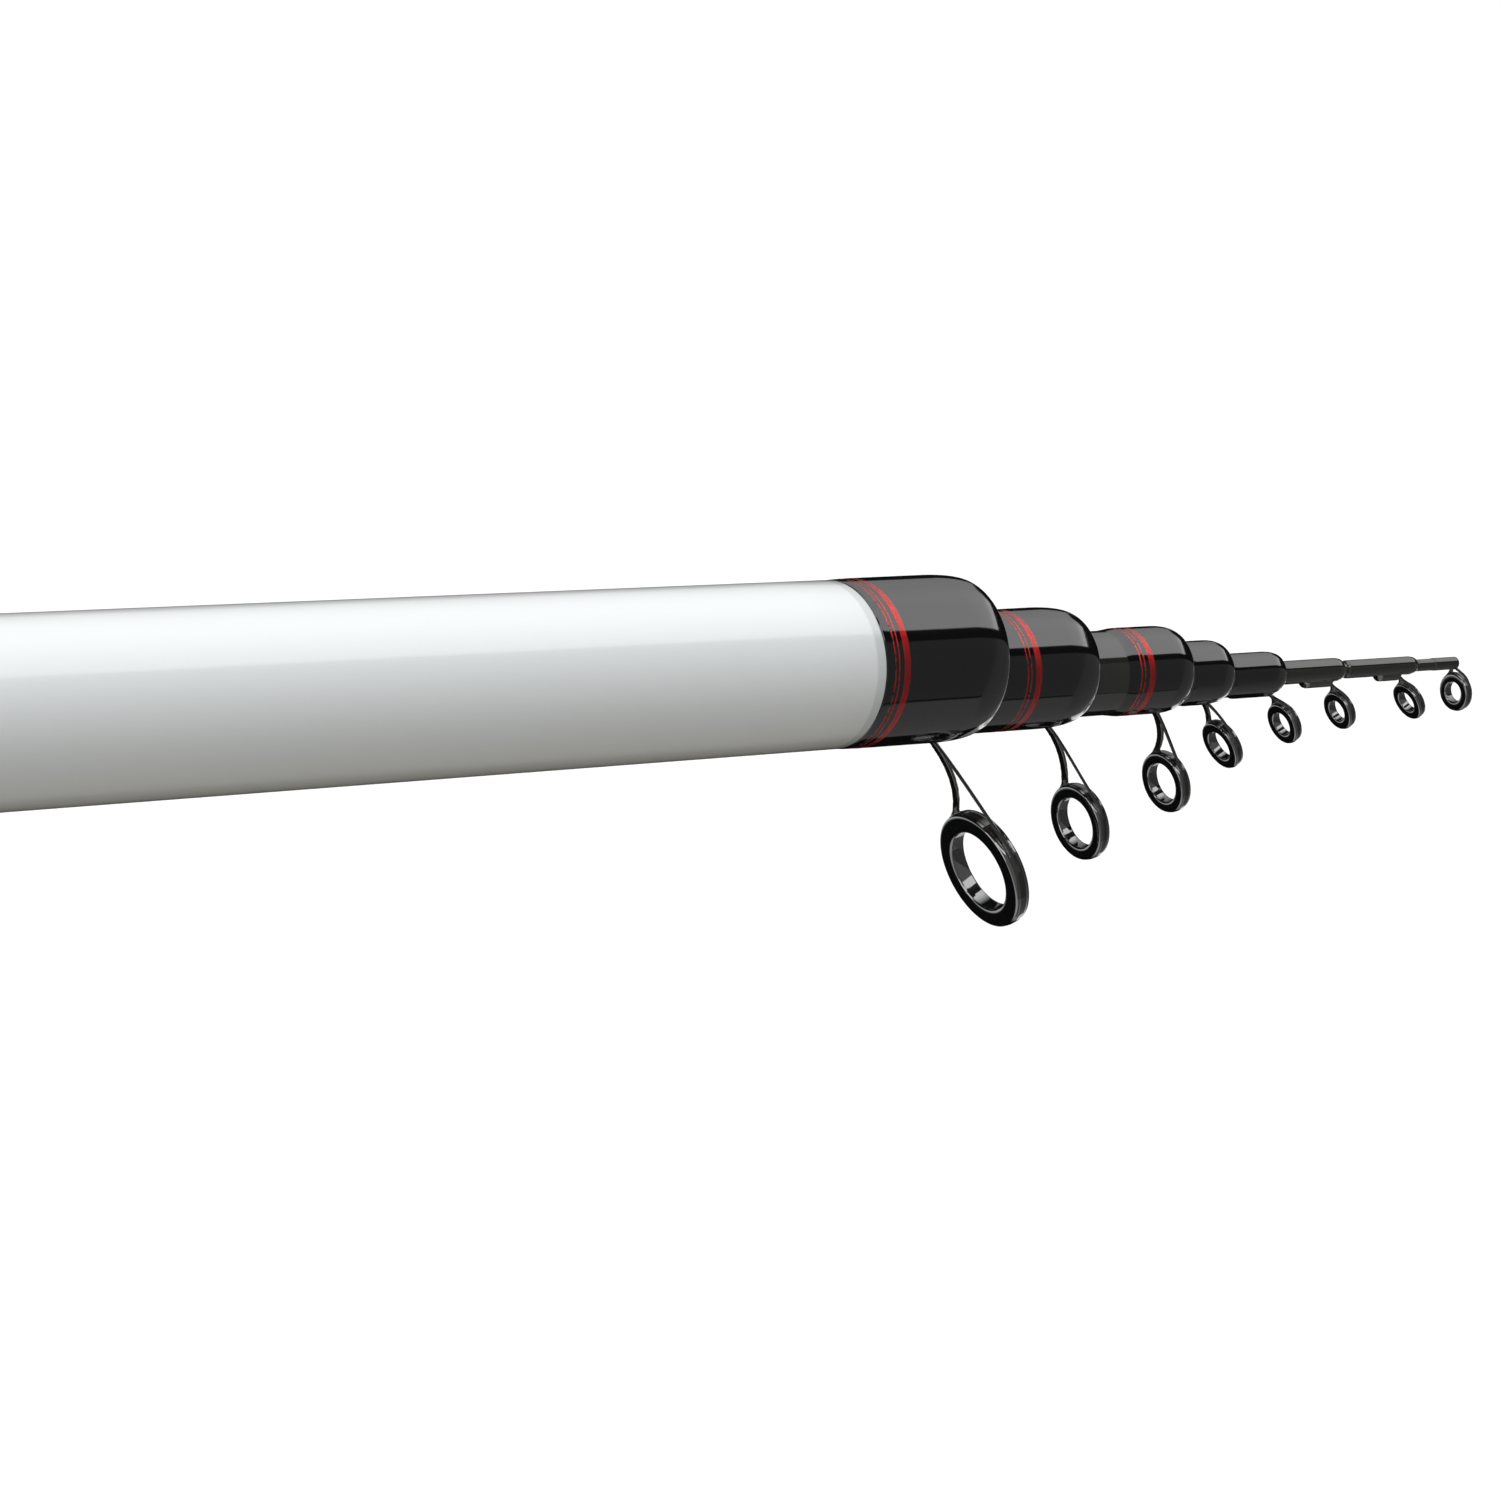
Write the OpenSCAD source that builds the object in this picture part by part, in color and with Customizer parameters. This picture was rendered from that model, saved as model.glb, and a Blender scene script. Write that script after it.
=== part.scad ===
// Telescopic fishing rod with a line guide at the mouth of every section, drawn closed.
// It lies along X with the tip towards +X, and the guides and the reel seat face -Z.
// The origin is the middle of the butt's rear rim. Lengths are millimetres.

/* [Butt section] */
// Length from the rear rim to the mouth
butt_len = 1000; // [700:10:1400]
// Diameter of the parallel handle at the rear
butt_rear_d = 32; // [31.6:0.1:38]
// Length of the parallel handle
butt_parallel = 150; // [60:5:300]
// Diameter over the white coat at its front edge
butt_front_d = 27; // [26.6:0.1:28]
// Thickness of the white coat
coat_t = 0.15; // [0.05:0.01:0.25]
// Distance from the coat's front edge to the mouth
coat_edge_back = 27; // [22:0.5:40]
// Wall at the mouth
wall_1 = 0.9; // [0.6:0.05:1.2]
// Wall at the rear end
rear_wall_1 = 0.75; // [0.5:0.05:0.8]
// Diameter of the lacquered collar at the mouth
collar_d_1 = 27.3; // [27.2:0.05:28.5]

/* [Section 2] */
// Diameter of the blank at its mouth
blank_d_2 = 19.6; // [18:0.1:20]
// Diameter of the lacquered collar
collar_d_2 = 20.1; // [20:0.05:21]
// How far its mouth stands past the mouth behind it
step_2 = 23.8; // [18:0.2:34]
// Length of the collar
collar_len_2 = 22.8; // [19:0.2:23]
// Wall at the mouth
wall_2 = 1.2; // [0.9:0.05:1.4]
// Wall at the rear end
rear_wall_2 = 1.1; // [0.6:0.05:1.6]
// Length that seats in the mouth behind it when it is drawn out
seat_2 = 80; // [50:1:110]

/* [Section 3] */
// Diameter of the blank at its mouth
blank_d_3 = 14.1; // [13.4:0.1:14.4]
// Diameter of the lacquered collar
collar_d_3 = 14.8; // [14.7:0.05:15.6]
// How far its mouth stands past the mouth behind it
step_3 = 24.2; // [19:0.2:34]
// Length of the collar
collar_len_3 = 16.4; // [15:0.2:18]
// Wall at the mouth
wall_3 = 0.9; // [0.7:0.05:1.1]
// Wall at the rear end
rear_wall_3 = 0.95; // [0.6:0.05:1.2]
// Length that seats in the mouth behind it when it is drawn out
seat_3 = 75; // [50:1:100]

/* [Section 4] */
// Diameter of the blank at its mouth
blank_d_4 = 10.3; // [9.8:0.1:10.6]
// Diameter of the lacquered collar
collar_d_4 = 10.9; // [10.8:0.05:11.4]
// How far its mouth stands past the mouth behind it
step_4 = 11.4; // [11:0.1:20]
// Length of the collar
collar_len_4 = 10.4; // [10:0.1:10.8]
// Wall at the mouth
wall_4 = 0.75; // [0.6:0.05:0.95]
// Wall at the rear end
rear_wall_4 = 0.8; // [0.5:0.05:0.9]
// Length that seats in the mouth behind it when it is drawn out
seat_4 = 70; // [45:1:95]

/* [Section 5] */
// Diameter of the blank at its mouth
blank_d_5 = 7; // [6.7:0.1:7.3]
// Diameter of the lacquered collar
collar_d_5 = 7.5; // [7.5:0.05:8]
// How far its mouth stands past the mouth behind it
step_5 = 14.2; // [14:0.1:22]
// Length of the collar
collar_len_5 = 13.2; // [11:0.1:13.6]
// Wall at the mouth
wall_5 = 0.65; // [0.5:0.05:0.8]
// Wall at the rear end
rear_wall_5 = 0.65; // [0.4:0.05:0.9]
// Length that seats in the mouth behind it when it is drawn out
seat_5 = 65; // [40:1:90]

/* [Section 6] */
// Diameter of the blank at its mouth
blank_d_6 = 3.7; // [3.5:0.1:4]
// Diameter of the lacquered wrap
collar_d_6 = 4.1; // [4.1:0.05:4.6]
// How far its mouth stands past the mouth behind it
step_6 = 16.2; // [15.8:0.1:24]
// Length of the wrap
collar_len_6 = 15.2; // [12:0.1:15.6]
// Wall at the mouth
wall_6 = 0.45; // [0.35:0.05:0.5]
// Wall at the rear end
rear_wall_6 = 0.5; // [0.35:0.05:0.7]
// Length that seats in the mouth behind it when it is drawn out
seat_6 = 60; // [35:1:85]

/* [Section 7] */
// Diameter of the blank at its mouth
blank_d_7 = 2.5; // [2.3:0.05:2.6]
// Diameter of the lacquered wrap
collar_d_7 = 3.2; // [3:0.05:3.6]
// How far its mouth stands past the mouth behind it
step_7 = 19; // [18.2:0.1:26]
// Length of the wrap
collar_len_7 = 17.8; // [14:0.1:18]
// Wall at the mouth
wall_7 = 0.35; // [0.3:0.05:0.4]
// Wall at the rear end
rear_wall_7 = 0.35; // [0.3:0.05:0.4]
// Length that seats in the mouth behind it when it is drawn out
seat_7 = 55; // [35:1:80]

/* [Tip section] */
// Diameter of the solid tip at its end
tip_d = 1; // [0.8:0.05:1.3]
// How far the tip stands past the mouth behind it
step_8 = 10.9; // [10.6:0.1:16]
// Length that seats in the mouth behind it when it is drawn out
seat_8 = 50; // [30:1:75]
// Outer diameter of the tip guide's tube
tip_tube_d = 2.25; // [1.8:0.05:2.4]
// Length of the tip guide's tube
tip_tube_len = 6; // [4:0.1:6.3]
// Diameter of the wrap behind the tube
tip_wrap_d = 2.1; // [1.7:0.05:2.2]
// Length of the wrap behind the tube
tip_wrap_len = 4.4; // [2:0.1:4.7]

/* [Fits between sections] */
// Radial clearance of a drawn-out section in its seat
seat_fit = 0.03; // [0.01:0.01:0.06]
// Gap under a section that lies on the bore of the one around it
lie_gap = 0.04; // [0.02:0.01:0.08]
// Direction in which closed sections lie, as an angle from the guides' side
lie_side = 25; // [0:1:40]
// How far section 6 lies below the middle of its slack, as a share of it
lie_6 = 0.15; // [0:0.05:1]
// How far section 7 lies below the middle of its slack, as a share of it
lie_7 = 0.8; // [0:0.05:1]
// How far the tip lies below the middle of its slack, as a share of it
lie_8 = 0.3; // [0:0.05:1]
// Thickness of the rounded lip around each mouth
lip_t = 0.3; // [0.2:0.02:0.4]
// Length of the rounded shoulder on the collars of sections 1 and 2
shoulder_len = 7; // [4:0.1:8]
// Length of the rounded shoulder on the smaller collars
small_shoulder_len = 3; // [1.5:0.1:4]

/* [Red thread trim] */
// Width of the woven band
band_w = 1.3; // [0.8:0.05:1.6]
// Width of each fine line
line_w = 0.2; // [0.15:0.01:0.35]
// Distance between the two fine lines
line_gap = 0.65; // [0.5:0.01:0.9]
// Distance from the second fine line to the middle of the band
band_gap = 1.75; // [1.5:0.01:2]
// Depth of the trim in the lacquer
trim_t = 0.12; // [0.06:0.01:0.15]
// How far the trim stands proud of the lacquer
trim_proud = 0.01; // [0.005:0.005:0.02]
// Distance from the butt's coat edge to its band
band_at_1 = 4.2; // [3.6:0.1:4.6]
// Distance from section 2's mouth back to its band
band_at_2 = 14.8; // [14.6:0.1:17]
// Distance from section 3's mouth back to its band
band_at_3 = 10.6; // [10.4:0.1:12]

/* [Guide 1, on the butt] */
// Bore of the ceramic ring
ring_bore_1 = 14.2; // [12:0.1:15]
// Diameter over the frame's ring
ring_d_1 = 20.8; // [20:0.1:23]
// Depth of the ceramic ring along its axis
ring_depth_1 = 3.2; // [2.6:0.1:3.6]
// Thickness of the frame's sheet
sheet_1 = 0.55; // [0.45:0.05:0.7]
// Height of the ring's middle below the section's axis
ring_h_1 = 39.8; // [36:0.1:46]
// How far the ring's middle stands past the mouth
reach_1 = 19.9; // [17:0.1:24]
// Forward lean of the ring from square to the rod
ring_lean_1 = 22.9; // [15:0.1:30]
// How far behind the mouth the neck leaves the foot
neck_back_1 = 1.8; // [0.6:0.1:3]

/* [Guide 2] */
// Bore of the ceramic ring
ring_bore_2 = 8.8; // [7.6:0.1:9.4]
// Diameter over the frame's ring
ring_d_2 = 13.4; // [13:0.1:15]
// Depth of the ceramic ring along its axis
ring_depth_2 = 2.5; // [2.1:0.1:2.8]
// Thickness of the frame's sheet
sheet_2 = 0.5; // [0.4:0.05:0.65]
// Height of the ring's middle below the section's axis
ring_h_2 = 29.5; // [27:0.1:33]
// How far the ring's middle stands past the mouth
reach_2 = 14.5; // [12:0.1:18]
// Forward lean of the ring from square to the rod
ring_lean_2 = 14.7; // [8:0.1:22]
// How far behind the mouth the neck leaves the foot
neck_back_2 = 0.6; // [0.3:0.1:2]

/* [Guide 3] */
// Bore of the ceramic ring
ring_bore_3 = 6.9; // [6:0.1:7.3]
// Diameter over the frame's ring
ring_d_3 = 10.9; // [10.6:0.1:12]
// Depth of the ceramic ring along its axis
ring_depth_3 = 2.3; // [1.9:0.1:2.6]
// Thickness of the frame's sheet
sheet_3 = 0.5; // [0.4:0.05:0.6]
// Height of the ring's middle below the section's axis
ring_h_3 = 21.5; // [19.5:0.1:24]
// How far the ring's middle stands past the mouth
reach_3 = 7.8; // [6.5:0.1:11]
// Forward lean of the ring from square to the rod
ring_lean_3 = 15.4; // [8:0.1:24]
// How far behind the mouth the neck leaves the foot
neck_back_3 = 0.3; // [0.2:0.1:1.6]

/* [Guide 4] */
// Bore of the ceramic ring
ring_bore_4 = 5.3; // [4.6:0.1:5.7]
// Diameter over the frame's ring
ring_d_4 = 9; // [8.6:0.05:10]
// Depth of the ceramic ring along its axis
ring_depth_4 = 2; // [1.7:0.1:2.3]
// Thickness of the frame's sheet
sheet_4 = 0.45; // [0.4:0.05:0.6]
// Height of the ring's middle below the section's axis
ring_h_4 = 14; // [13:0.1:16]
// How far the ring's middle stands past the mouth
reach_4 = 7.2; // [6:0.1:9]
// Forward lean of the ring from square to the rod
ring_lean_4 = 27.9; // [20:0.1:34]
// How far behind the mouth the neck leaves the foot
neck_back_4 = 0.7; // [0.3:0.1:1.6]

/* [Guide 5] */
// Bore of the ceramic ring
ring_bore_5 = 4.2; // [3.6:0.1:4.5]
// Diameter over the frame's ring
ring_d_5 = 7.6; // [7.2:0.05:8.2]
// Depth of the ceramic ring along its axis
ring_depth_5 = 1.8; // [1.5:0.1:2]
// Thickness of the frame's sheet
sheet_5 = 0.45; // [0.4:0.05:0.6]
// Height of the ring's middle below the section's axis
ring_h_5 = 9.8; // [9.2:0.1:11]
// How far the ring's middle stands past the mouth
reach_5 = 6.6; // [5.4:0.1:8]
// Forward lean of the ring from square to the rod
ring_lean_5 = 23; // [16:0.1:32]
// How far behind the mouth the neck leaves the foot
neck_back_5 = 0.4; // [0.2:0.1:1.4]

/* [Guide 6] */
// Bore of the ceramic ring
ring_bore_6 = 3.8; // [3.3:0.1:4.1]
// Diameter over the frame's ring
ring_d_6 = 7.1; // [6.6:0.05:7.6]
// Depth of the ceramic ring along its axis
ring_depth_6 = 1.7; // [1.4:0.1:1.9]
// Thickness of the frame's sheet
sheet_6 = 0.45; // [0.4:0.05:0.6]
// Height of the ring's middle below the section's axis
ring_h_6 = 7.9; // [7.4:0.1:9]
// How far the ring's middle stands past the mouth
reach_6 = 3.5; // [2.6:0.1:5]
// Forward lean of the ring from square to the rod
ring_lean_6 = 21.5; // [14:0.1:30]
// How far behind the mouth the neck leaves the foot
neck_back_6 = 1.6; // [0.6:0.1:3]

/* [Guide 7] */
// Bore of the ceramic ring
ring_bore_7 = 3.8; // [3.3:0.1:4.1]
// Diameter over the frame's ring
ring_d_7 = 7.1; // [6.6:0.05:7.6]
// Depth of the ceramic ring along its axis
ring_depth_7 = 1.7; // [1.4:0.1:1.9]
// Thickness of the frame's sheet
sheet_7 = 0.45; // [0.4:0.05:0.6]
// Height of the ring's middle below the section's axis
ring_h_7 = 6.9; // [6.6:0.1:8]
// How far the ring's middle stands past the mouth
reach_7 = 1.9; // [1:0.1:4]
// Forward lean of the ring from square to the rod
ring_lean_7 = 27.9; // [20:0.1:34]
// How far behind the mouth the neck leaves the foot
neck_back_7 = 3.3; // [1.6:0.1:4.4]

/* [Tip guide] */
// Bore of the ceramic ring
ring_bore_8 = 3.6; // [3:0.05:3.9]
// Diameter over the frame's ring
ring_d_8 = 7; // [6.6:0.05:7.6]
// Depth of the ceramic ring along its axis
ring_depth_8 = 1.7; // [1.4:0.1:1.9]
// Thickness of the frame's sheet
sheet_8 = 0.45; // [0.4:0.05:0.6]
// Height of the ring's middle below the section's axis
ring_h_8 = 5.7; // [5.4:0.1:7]
// How far the ring's middle stands past the tip
reach_8 = 2.7; // [2:0.1:4]
// Forward lean of the ring from square to the rod
ring_lean_8 = 7.2; // [2:0.1:14]

/* [Guide feet] */
// Gap between the blank and the foot on it
foot_gap = 0.02; // [0.01:0.01:0.05]
// Lacquer over the foot
foot_cover = 0.28; // [0.2:0.02:0.4]

/* [Reel seat] */
// Distance from the rear rim to the plate
seat_x = 300; // [180:5:400]
// Length of the plate
plate_len = 152; // [150:1:170]
// Radius of the plate's outer face about the rod's axis
plate_r = 18.4; // [18.2:0.1:19]
// Half of the angle that the plate spans round the rod
plate_half_angle = 36; // [34:0.5:40]
// Length of each thin end that is bound to the rod
plate_foot_len = 15; // [12:0.5:17]
// Thickness of the plate's sliding edges
plate_edge_t = 1.2; // [1:0.05:1.4]
// Length of the fixed hood
fixed_hood_len = 19; // [17:0.5:22]
// Length of the sliding hood
sliding_hood_len = 24; // [23:0.5:28]
// Depth of each hood's pocket along the rod
pocket_len = 14; // [12:0.5:15]
// Height of each hood's pocket
pocket_h = 5.8; // [5.4:0.1:6.5]
// Wall of the hoods
hood_wall = 1.6; // [1.3:0.1:1.9]
// Travel of the sliding hood
hood_travel = 28; // [18:1:30]
// Clearance between the sliding hood and the plate
hood_fit = 0.08; // [0.04:0.01:0.12]
// Diameter of the lever's pin
pin_d = 2.5; // [2:0.1:3]
// Clearance round the pin in the lever
pin_fit = 0.05; // [0.03:0.01:0.08]
// Length of the lever from its pin
lever_len = 31; // [26:0.5:34]
// Thickness of the lever
lever_t = 2.2; // [1.8:0.1:2.6]
// Width of the lever
lever_w = 9.6; // [8:0.1:10]

/* [Butt cap] */
// Length of the threaded bush and of the plug in it
bush_len = 12; // [9:0.5:14]
// Bore of the threaded bush
bush_bore = 26; // [25.8:0.1:26.6]
// Clearance of the plug in the bush
plug_fit = 0.05; // [0.03:0.01:0.09]
// Thickness of the cap's flange
cap_t = 8; // [6:0.2:12]
// Diameter of the cap's flange
cap_d = 31.6; // [30.8:0.1:32]
// Number of finger flutes round the flange
cap_flutes = 20; // [12:1:28]
// Diameter of the outer rubber pad
pad_d = 24; // [18:0.5:26]
// How far the pad stands out of the cap
pad_proud = 1.5; // [1:0.1:2.5]
// Thickness of the rubber buffer on the plug
buffer_t = 1.7; // [1.2:0.1:2.5]
// Thread of the O-ring under the flange
oring_t = 1.2; // [1:0.1:1.5]

/* [Hidden] */

lacquer = "#1b1b1c";
carbon = "#2a2b2c";
thread_red = "#b3252a";
guide_black = "#161617";
ceramic = "#26272a";
seat_black = "#202123";
metal = "#a9acb0";
rubber = "#232323";

// Values by section, the butt first; entry 0 is unused
blank_d = [0, butt_front_d - 2 * coat_t, blank_d_2, blank_d_3, blank_d_4, blank_d_5, blank_d_6,
    blank_d_7, tip_d];
collar_d = [0, collar_d_1, collar_d_2, collar_d_3, collar_d_4, collar_d_5, collar_d_6, collar_d_7];
collar_len = [0, coat_edge_back, collar_len_2, collar_len_3, collar_len_4, collar_len_5,
    collar_len_6, collar_len_7];
step = [0, 0, step_2, step_3, step_4, step_5, step_6, step_7, step_8];
wall = [0, wall_1, wall_2, wall_3, wall_4, wall_5, wall_6, wall_7];
rear_wall = [0, rear_wall_1, rear_wall_2, rear_wall_3, rear_wall_4, rear_wall_5, rear_wall_6,
    rear_wall_7];
seat = [0, 0, seat_2, seat_3, seat_4, seat_5, seat_6, seat_7, seat_8];
lie = [0, 0, 1, 1, 1, 1, lie_6, lie_7, lie_8];
shoulder = [0, shoulder_len, shoulder_len, small_shoulder_len + 1, small_shoulder_len,
    small_shoulder_len, small_shoulder_len / 2, small_shoulder_len / 2];

// Values by guide, the butt's first; entry 0 is unused
ring_bore = [0, ring_bore_1, ring_bore_2, ring_bore_3, ring_bore_4, ring_bore_5, ring_bore_6,
    ring_bore_7, ring_bore_8];
ring_d = [0, ring_d_1, ring_d_2, ring_d_3, ring_d_4, ring_d_5, ring_d_6, ring_d_7, ring_d_8];
ring_depth = [0, ring_depth_1, ring_depth_2, ring_depth_3, ring_depth_4, ring_depth_5,
    ring_depth_6, ring_depth_7, ring_depth_8];
sheet = [0, sheet_1, sheet_2, sheet_3, sheet_4, sheet_5, sheet_6, sheet_7, sheet_8];
ring_h = [0, ring_h_1, ring_h_2, ring_h_3, ring_h_4, ring_h_5, ring_h_6, ring_h_7, ring_h_8];
reach = [0, reach_1, reach_2, reach_3, reach_4, reach_5, reach_6, reach_7, reach_8];
ring_lean = [0, ring_lean_1, ring_lean_2, ring_lean_3, ring_lean_4, ring_lean_5, ring_lean_6,
    ring_lean_7, ring_lean_8];
// Lean of the neck where it leaves the foot, and of the legs where they meet the ring
neck_lean = [0, 52, 54, 46, 58, 60, 50, 50, 60];
leg_end_lean = [0, 39, 40, 24, 40, 34, 22, 28, 10];
// Distance of each leg from the guide's middle at the neck
neck_half = [0, 0.46, 0.42, 0.4, 0.9, 0.85, 0.3, 0.3, 0.5];
// Width of each leg, and how sharply the legs part: 1 is a plain V, more keeps them together
leg_w = [0, 1.05, 1.05, 1, 0.8, 0.75, 1.3, 1.3, 0.7];
leg_flare = [0, 2.2, 2.2, 2.6, 1.3, 1.3, 1.8, 1.8, 1.1];
// Turn of each leg's flat face about its length; the small guides have one flat neck
leg_turn = [0, -20, -20, -20, -20, -15, 0, 0, -10];
flat_neck = [false, false, false, false, false, false, true, true, false];
foot_len = [0, 15, 10, 8, 6.5, 9.5, 6.6, 5.4];
foot_t = [0, sheet_1, sheet_2, sheet_3, sheet_4, sheet_5, 0.95, 1.1];
neck_back = [0, neck_back_1, neck_back_2, neck_back_3, neck_back_4, neck_back_5, neck_back_6,
    neck_back_7];
foot_half_w = [0, 1.6, 1.2, 1.1, 1.05, 0.95, 0.75, 0.7];

curve_steps = 8;
// Left between the lacquer and the blank under it
skin_gap = foot_gap / 2;
edge_x = butt_len - coat_edge_back;
butt_taper = (butt_rear_d - butt_front_d) / 2 / (edge_x - butt_parallel);
rest_x = bush_len + buffer_t + 0.3;

// Places and radii along the rod
function mouth_x(k) = k == 1 ? butt_len : mouth_x(k - 1) + step[k];
function mouth_r(k) = blank_d[k] / 2 - wall[k];
function taper(k) = (mouth_r(k - 1) - seat_fit - blank_d[k] / 2)
    / (mouth_x(k) - rest_x - seat[k]);
function rear_x(k) = k == 1 ? 0 : rest_x;
function butt_r(x) = x >= edge_x ? butt_front_d / 2 - coat_t
    : x <= butt_parallel ? butt_rear_d / 2
    : butt_front_d / 2 + (edge_x - x) * butt_taper;
function outer_r(k, x) = k == 1 ? butt_r(x) : blank_d[k] / 2 + taper(k) * (mouth_x(k) - x);
function seat_r(k) = mouth_r(k) + taper(k + 1) * seat[k + 1];
function rear_bore_r(k) = outer_r(k, rear_x(k)) - rear_wall[k];

// A closed section lies lower than the one around it and comes to the middle as it seats
function drop(k) = k == 1 ? 0
    : lie[k] * (mouth_r(k - 1) - outer_r(k, mouth_x(k - 1)) - lie_gap);
function total_drop(k) = k == 1 ? 0 : total_drop(k - 1) + drop(k);
function axis_y(k) = -total_drop(k) * sin(lie_side);
function axis_z(k) = -total_drop(k) * cos(lie_side);
function travel(k) = mouth_x(k - 1) - seat[k] - rest_x;

// Points of a quarter ellipse from [r0, x0] to [r1, x1], level at its start
function shoulder_pts(r0, x0, r1, x1) = [
    for (i = [0 : curve_steps])
        let (a = 90 * i / curve_steps)
        [r1 + (r0 - r1) * cos(a), x0 + (x1 - x0) * sin(a)]
];
function reversed(pts) = [for (i = [len(pts) - 1 : -1 : 0]) pts[i]];

module along_x() rotate([0, 90, 0]) children();

// Solid of revolution about X from [radius, x] points
module turned(pts) along_x() rotate_extrude($fn = 96) polygon(pts);

// Part of a turned solid that spans half_angle each way from straight down
module turned_sector(pts, half_angle)
    along_x() rotate([0, 0, -half_angle]) rotate_extrude(angle = 2 * half_angle, $fn = 96)
        polygon(pts);

module ring_sector(r0, r1, x0, x1, half_angle)
    turned_sector([[r0, x0], [r1, x0], [r1, x1], [r0, x1]], half_angle);

module on_axis(k) translate([0, axis_y(k), axis_z(k)]) children();

// Blanks
function front_shape(k) = shoulder_pts(outer_r(k, mouth_x(k) - shoulder[k]),
    mouth_x(k) - shoulder[k], mouth_r(k) + lip_t / 2, mouth_x(k));
function butt_outside() = concat(
    [[butt_rear_d / 2, 0], [butt_rear_d / 2, butt_parallel]],
    [[butt_front_d / 2, edge_x - coat_t]],
    [[butt_front_d / 2 - coat_t / 3, edge_x - coat_t / 4], [butt_front_d / 2 - coat_t, edge_x]],
    front_shape(1)
);
function section_outside(k) = concat([[outer_r(k, rest_x), rest_x]], front_shape(k));

module blank(k) on_axis(k) turned(concat(
    k == 1 ? butt_outside() : section_outside(k),
    [[mouth_r(k), mouth_x(k)], [seat_r(k), mouth_x(k) - seat[k + 1]]],
    [[rear_bore_r(k), rear_x(k)]]
));

module tip_blank() color(carbon) on_axis(8) turned([
    [0, rest_x], [outer_r(8, rest_x), rest_x], [tip_d / 2, mouth_x(8)], [0, mouth_x(8)]
]);

// Collars and wraps, lacquered over the blank and the guide's foot
function foot_top(k) = outer_r(k, mouth_x(k) - neck_back[k] - foot_len[k]) + foot_gap;
function foot_x(k) = mouth_x(k) - neck_back[k];
function collar_x(k) = mouth_x(k) - collar_len[k];
function collar_rise(k) = k == 1 ? 8 : 1;

function collar_outside(k) = concat(
    [[0, collar_x(k)]],
    [for (i = [0 : curve_steps])
        let (a = 90 * i / curve_steps, r0 = outer_r(k, collar_x(k)) + lip_t / 3)
        [r0 + (collar_d[k] / 2 - r0) * sin(a), collar_x(k) + collar_rise(k) * (1 - cos(a))]],
    shoulder_pts(collar_d[k] / 2, mouth_x(k) - shoulder[k], mouth_r(k) + lip_t, mouth_x(k)),
    [[0, mouth_x(k)]]
);

// The lacquer's bulge over the foot, turned about a line under the blank's skin
module foot_bulge(k) {
    low = foot_top(k) + foot_t[k] + foot_cover;
    r = pow(foot_half_w[k], 2) / foot_cover * 0.62 + foot_cover;
    hidden_r = max(0.1, collar_d[k] / 2 - (low - r) - 0.04);
    x0 = foot_x(k) - foot_len[k] - sheet[k];
    x1 = foot_x(k) - 2.2 * sheet[k];
    run = 1.6 * sheet[k];
    translate([0, 0, r - low]) turned(concat(
        [[0, x0 - run]],
        [for (i = [0 : curve_steps])
            let (u = i / curve_steps)
            [hidden_r + (r - hidden_r) * (1 - cos(180 * u)) / 2, x0 - run + 2 * run * u]],
        [[r, x1], [r * 0.86, x1 + sheet[k]], [0, x1 + sheet[k]]]
    ));
}

module blank_space(k) turned(concat(
    [[0, collar_x(k) - 1], [outer_r(k, collar_x(k) + 0.001) + skin_gap, collar_x(k) - 1]],
    [[outer_r(k, collar_x(k) + 0.001) + skin_gap, collar_x(k)]],
    [for (p = front_shape(k)) [p[0] + skin_gap, p[1] + skin_gap]],
    [[mouth_r(k) + lip_t / 2 + skin_gap, mouth_x(k) + 1], [0, mouth_x(k) + 1]]
));

module collar(k) on_axis(k) difference() {
    union() {
        turned(collar_outside(k));
        foot_bulge(k);
    }
    blank_space(k);
    foot(k, foot_gap);
    legs(k, foot_gap);
}

// Red thread laid flush in the collars of the first three sections
function band_x(k) = k == 1 ? edge_x + band_at_1
    : mouth_x(k) - (k == 2 ? band_at_2 : band_at_3);
function trim_rows(k) = [
    [band_x(k), band_w], [band_x(k) - band_gap, line_w], [band_x(k) - band_gap - line_gap, line_w]
];
function collar_r_at(k, x) = let (
        r0 = outer_r(k, collar_x(k)) + lip_t / 3,
        u = min(1, max(0, (x - collar_x(k)) / collar_rise(k)))
    ) r0 + (collar_d[k] / 2 - r0) * sqrt(1 - pow(1 - u, 2));

module trim_rings(k, proud) for (row = trim_rows(k)) {
    r = collar_r_at(k, row[0]);
    turned([
        [r - trim_t, row[0] - row[1] / 2], [r + proud, row[0] - row[1] / 2],
        [r + proud, row[0] + row[1] / 2], [r - trim_t, row[0] + row[1] / 2]
    ]);
}

module trim(k) color(thread_red) on_axis(k) trim_rings(k, trim_proud);

module trimmed_collar(k) color(lacquer) difference() {
    collar(k);
    on_axis(k) trim_rings(k, 1);
}

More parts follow.
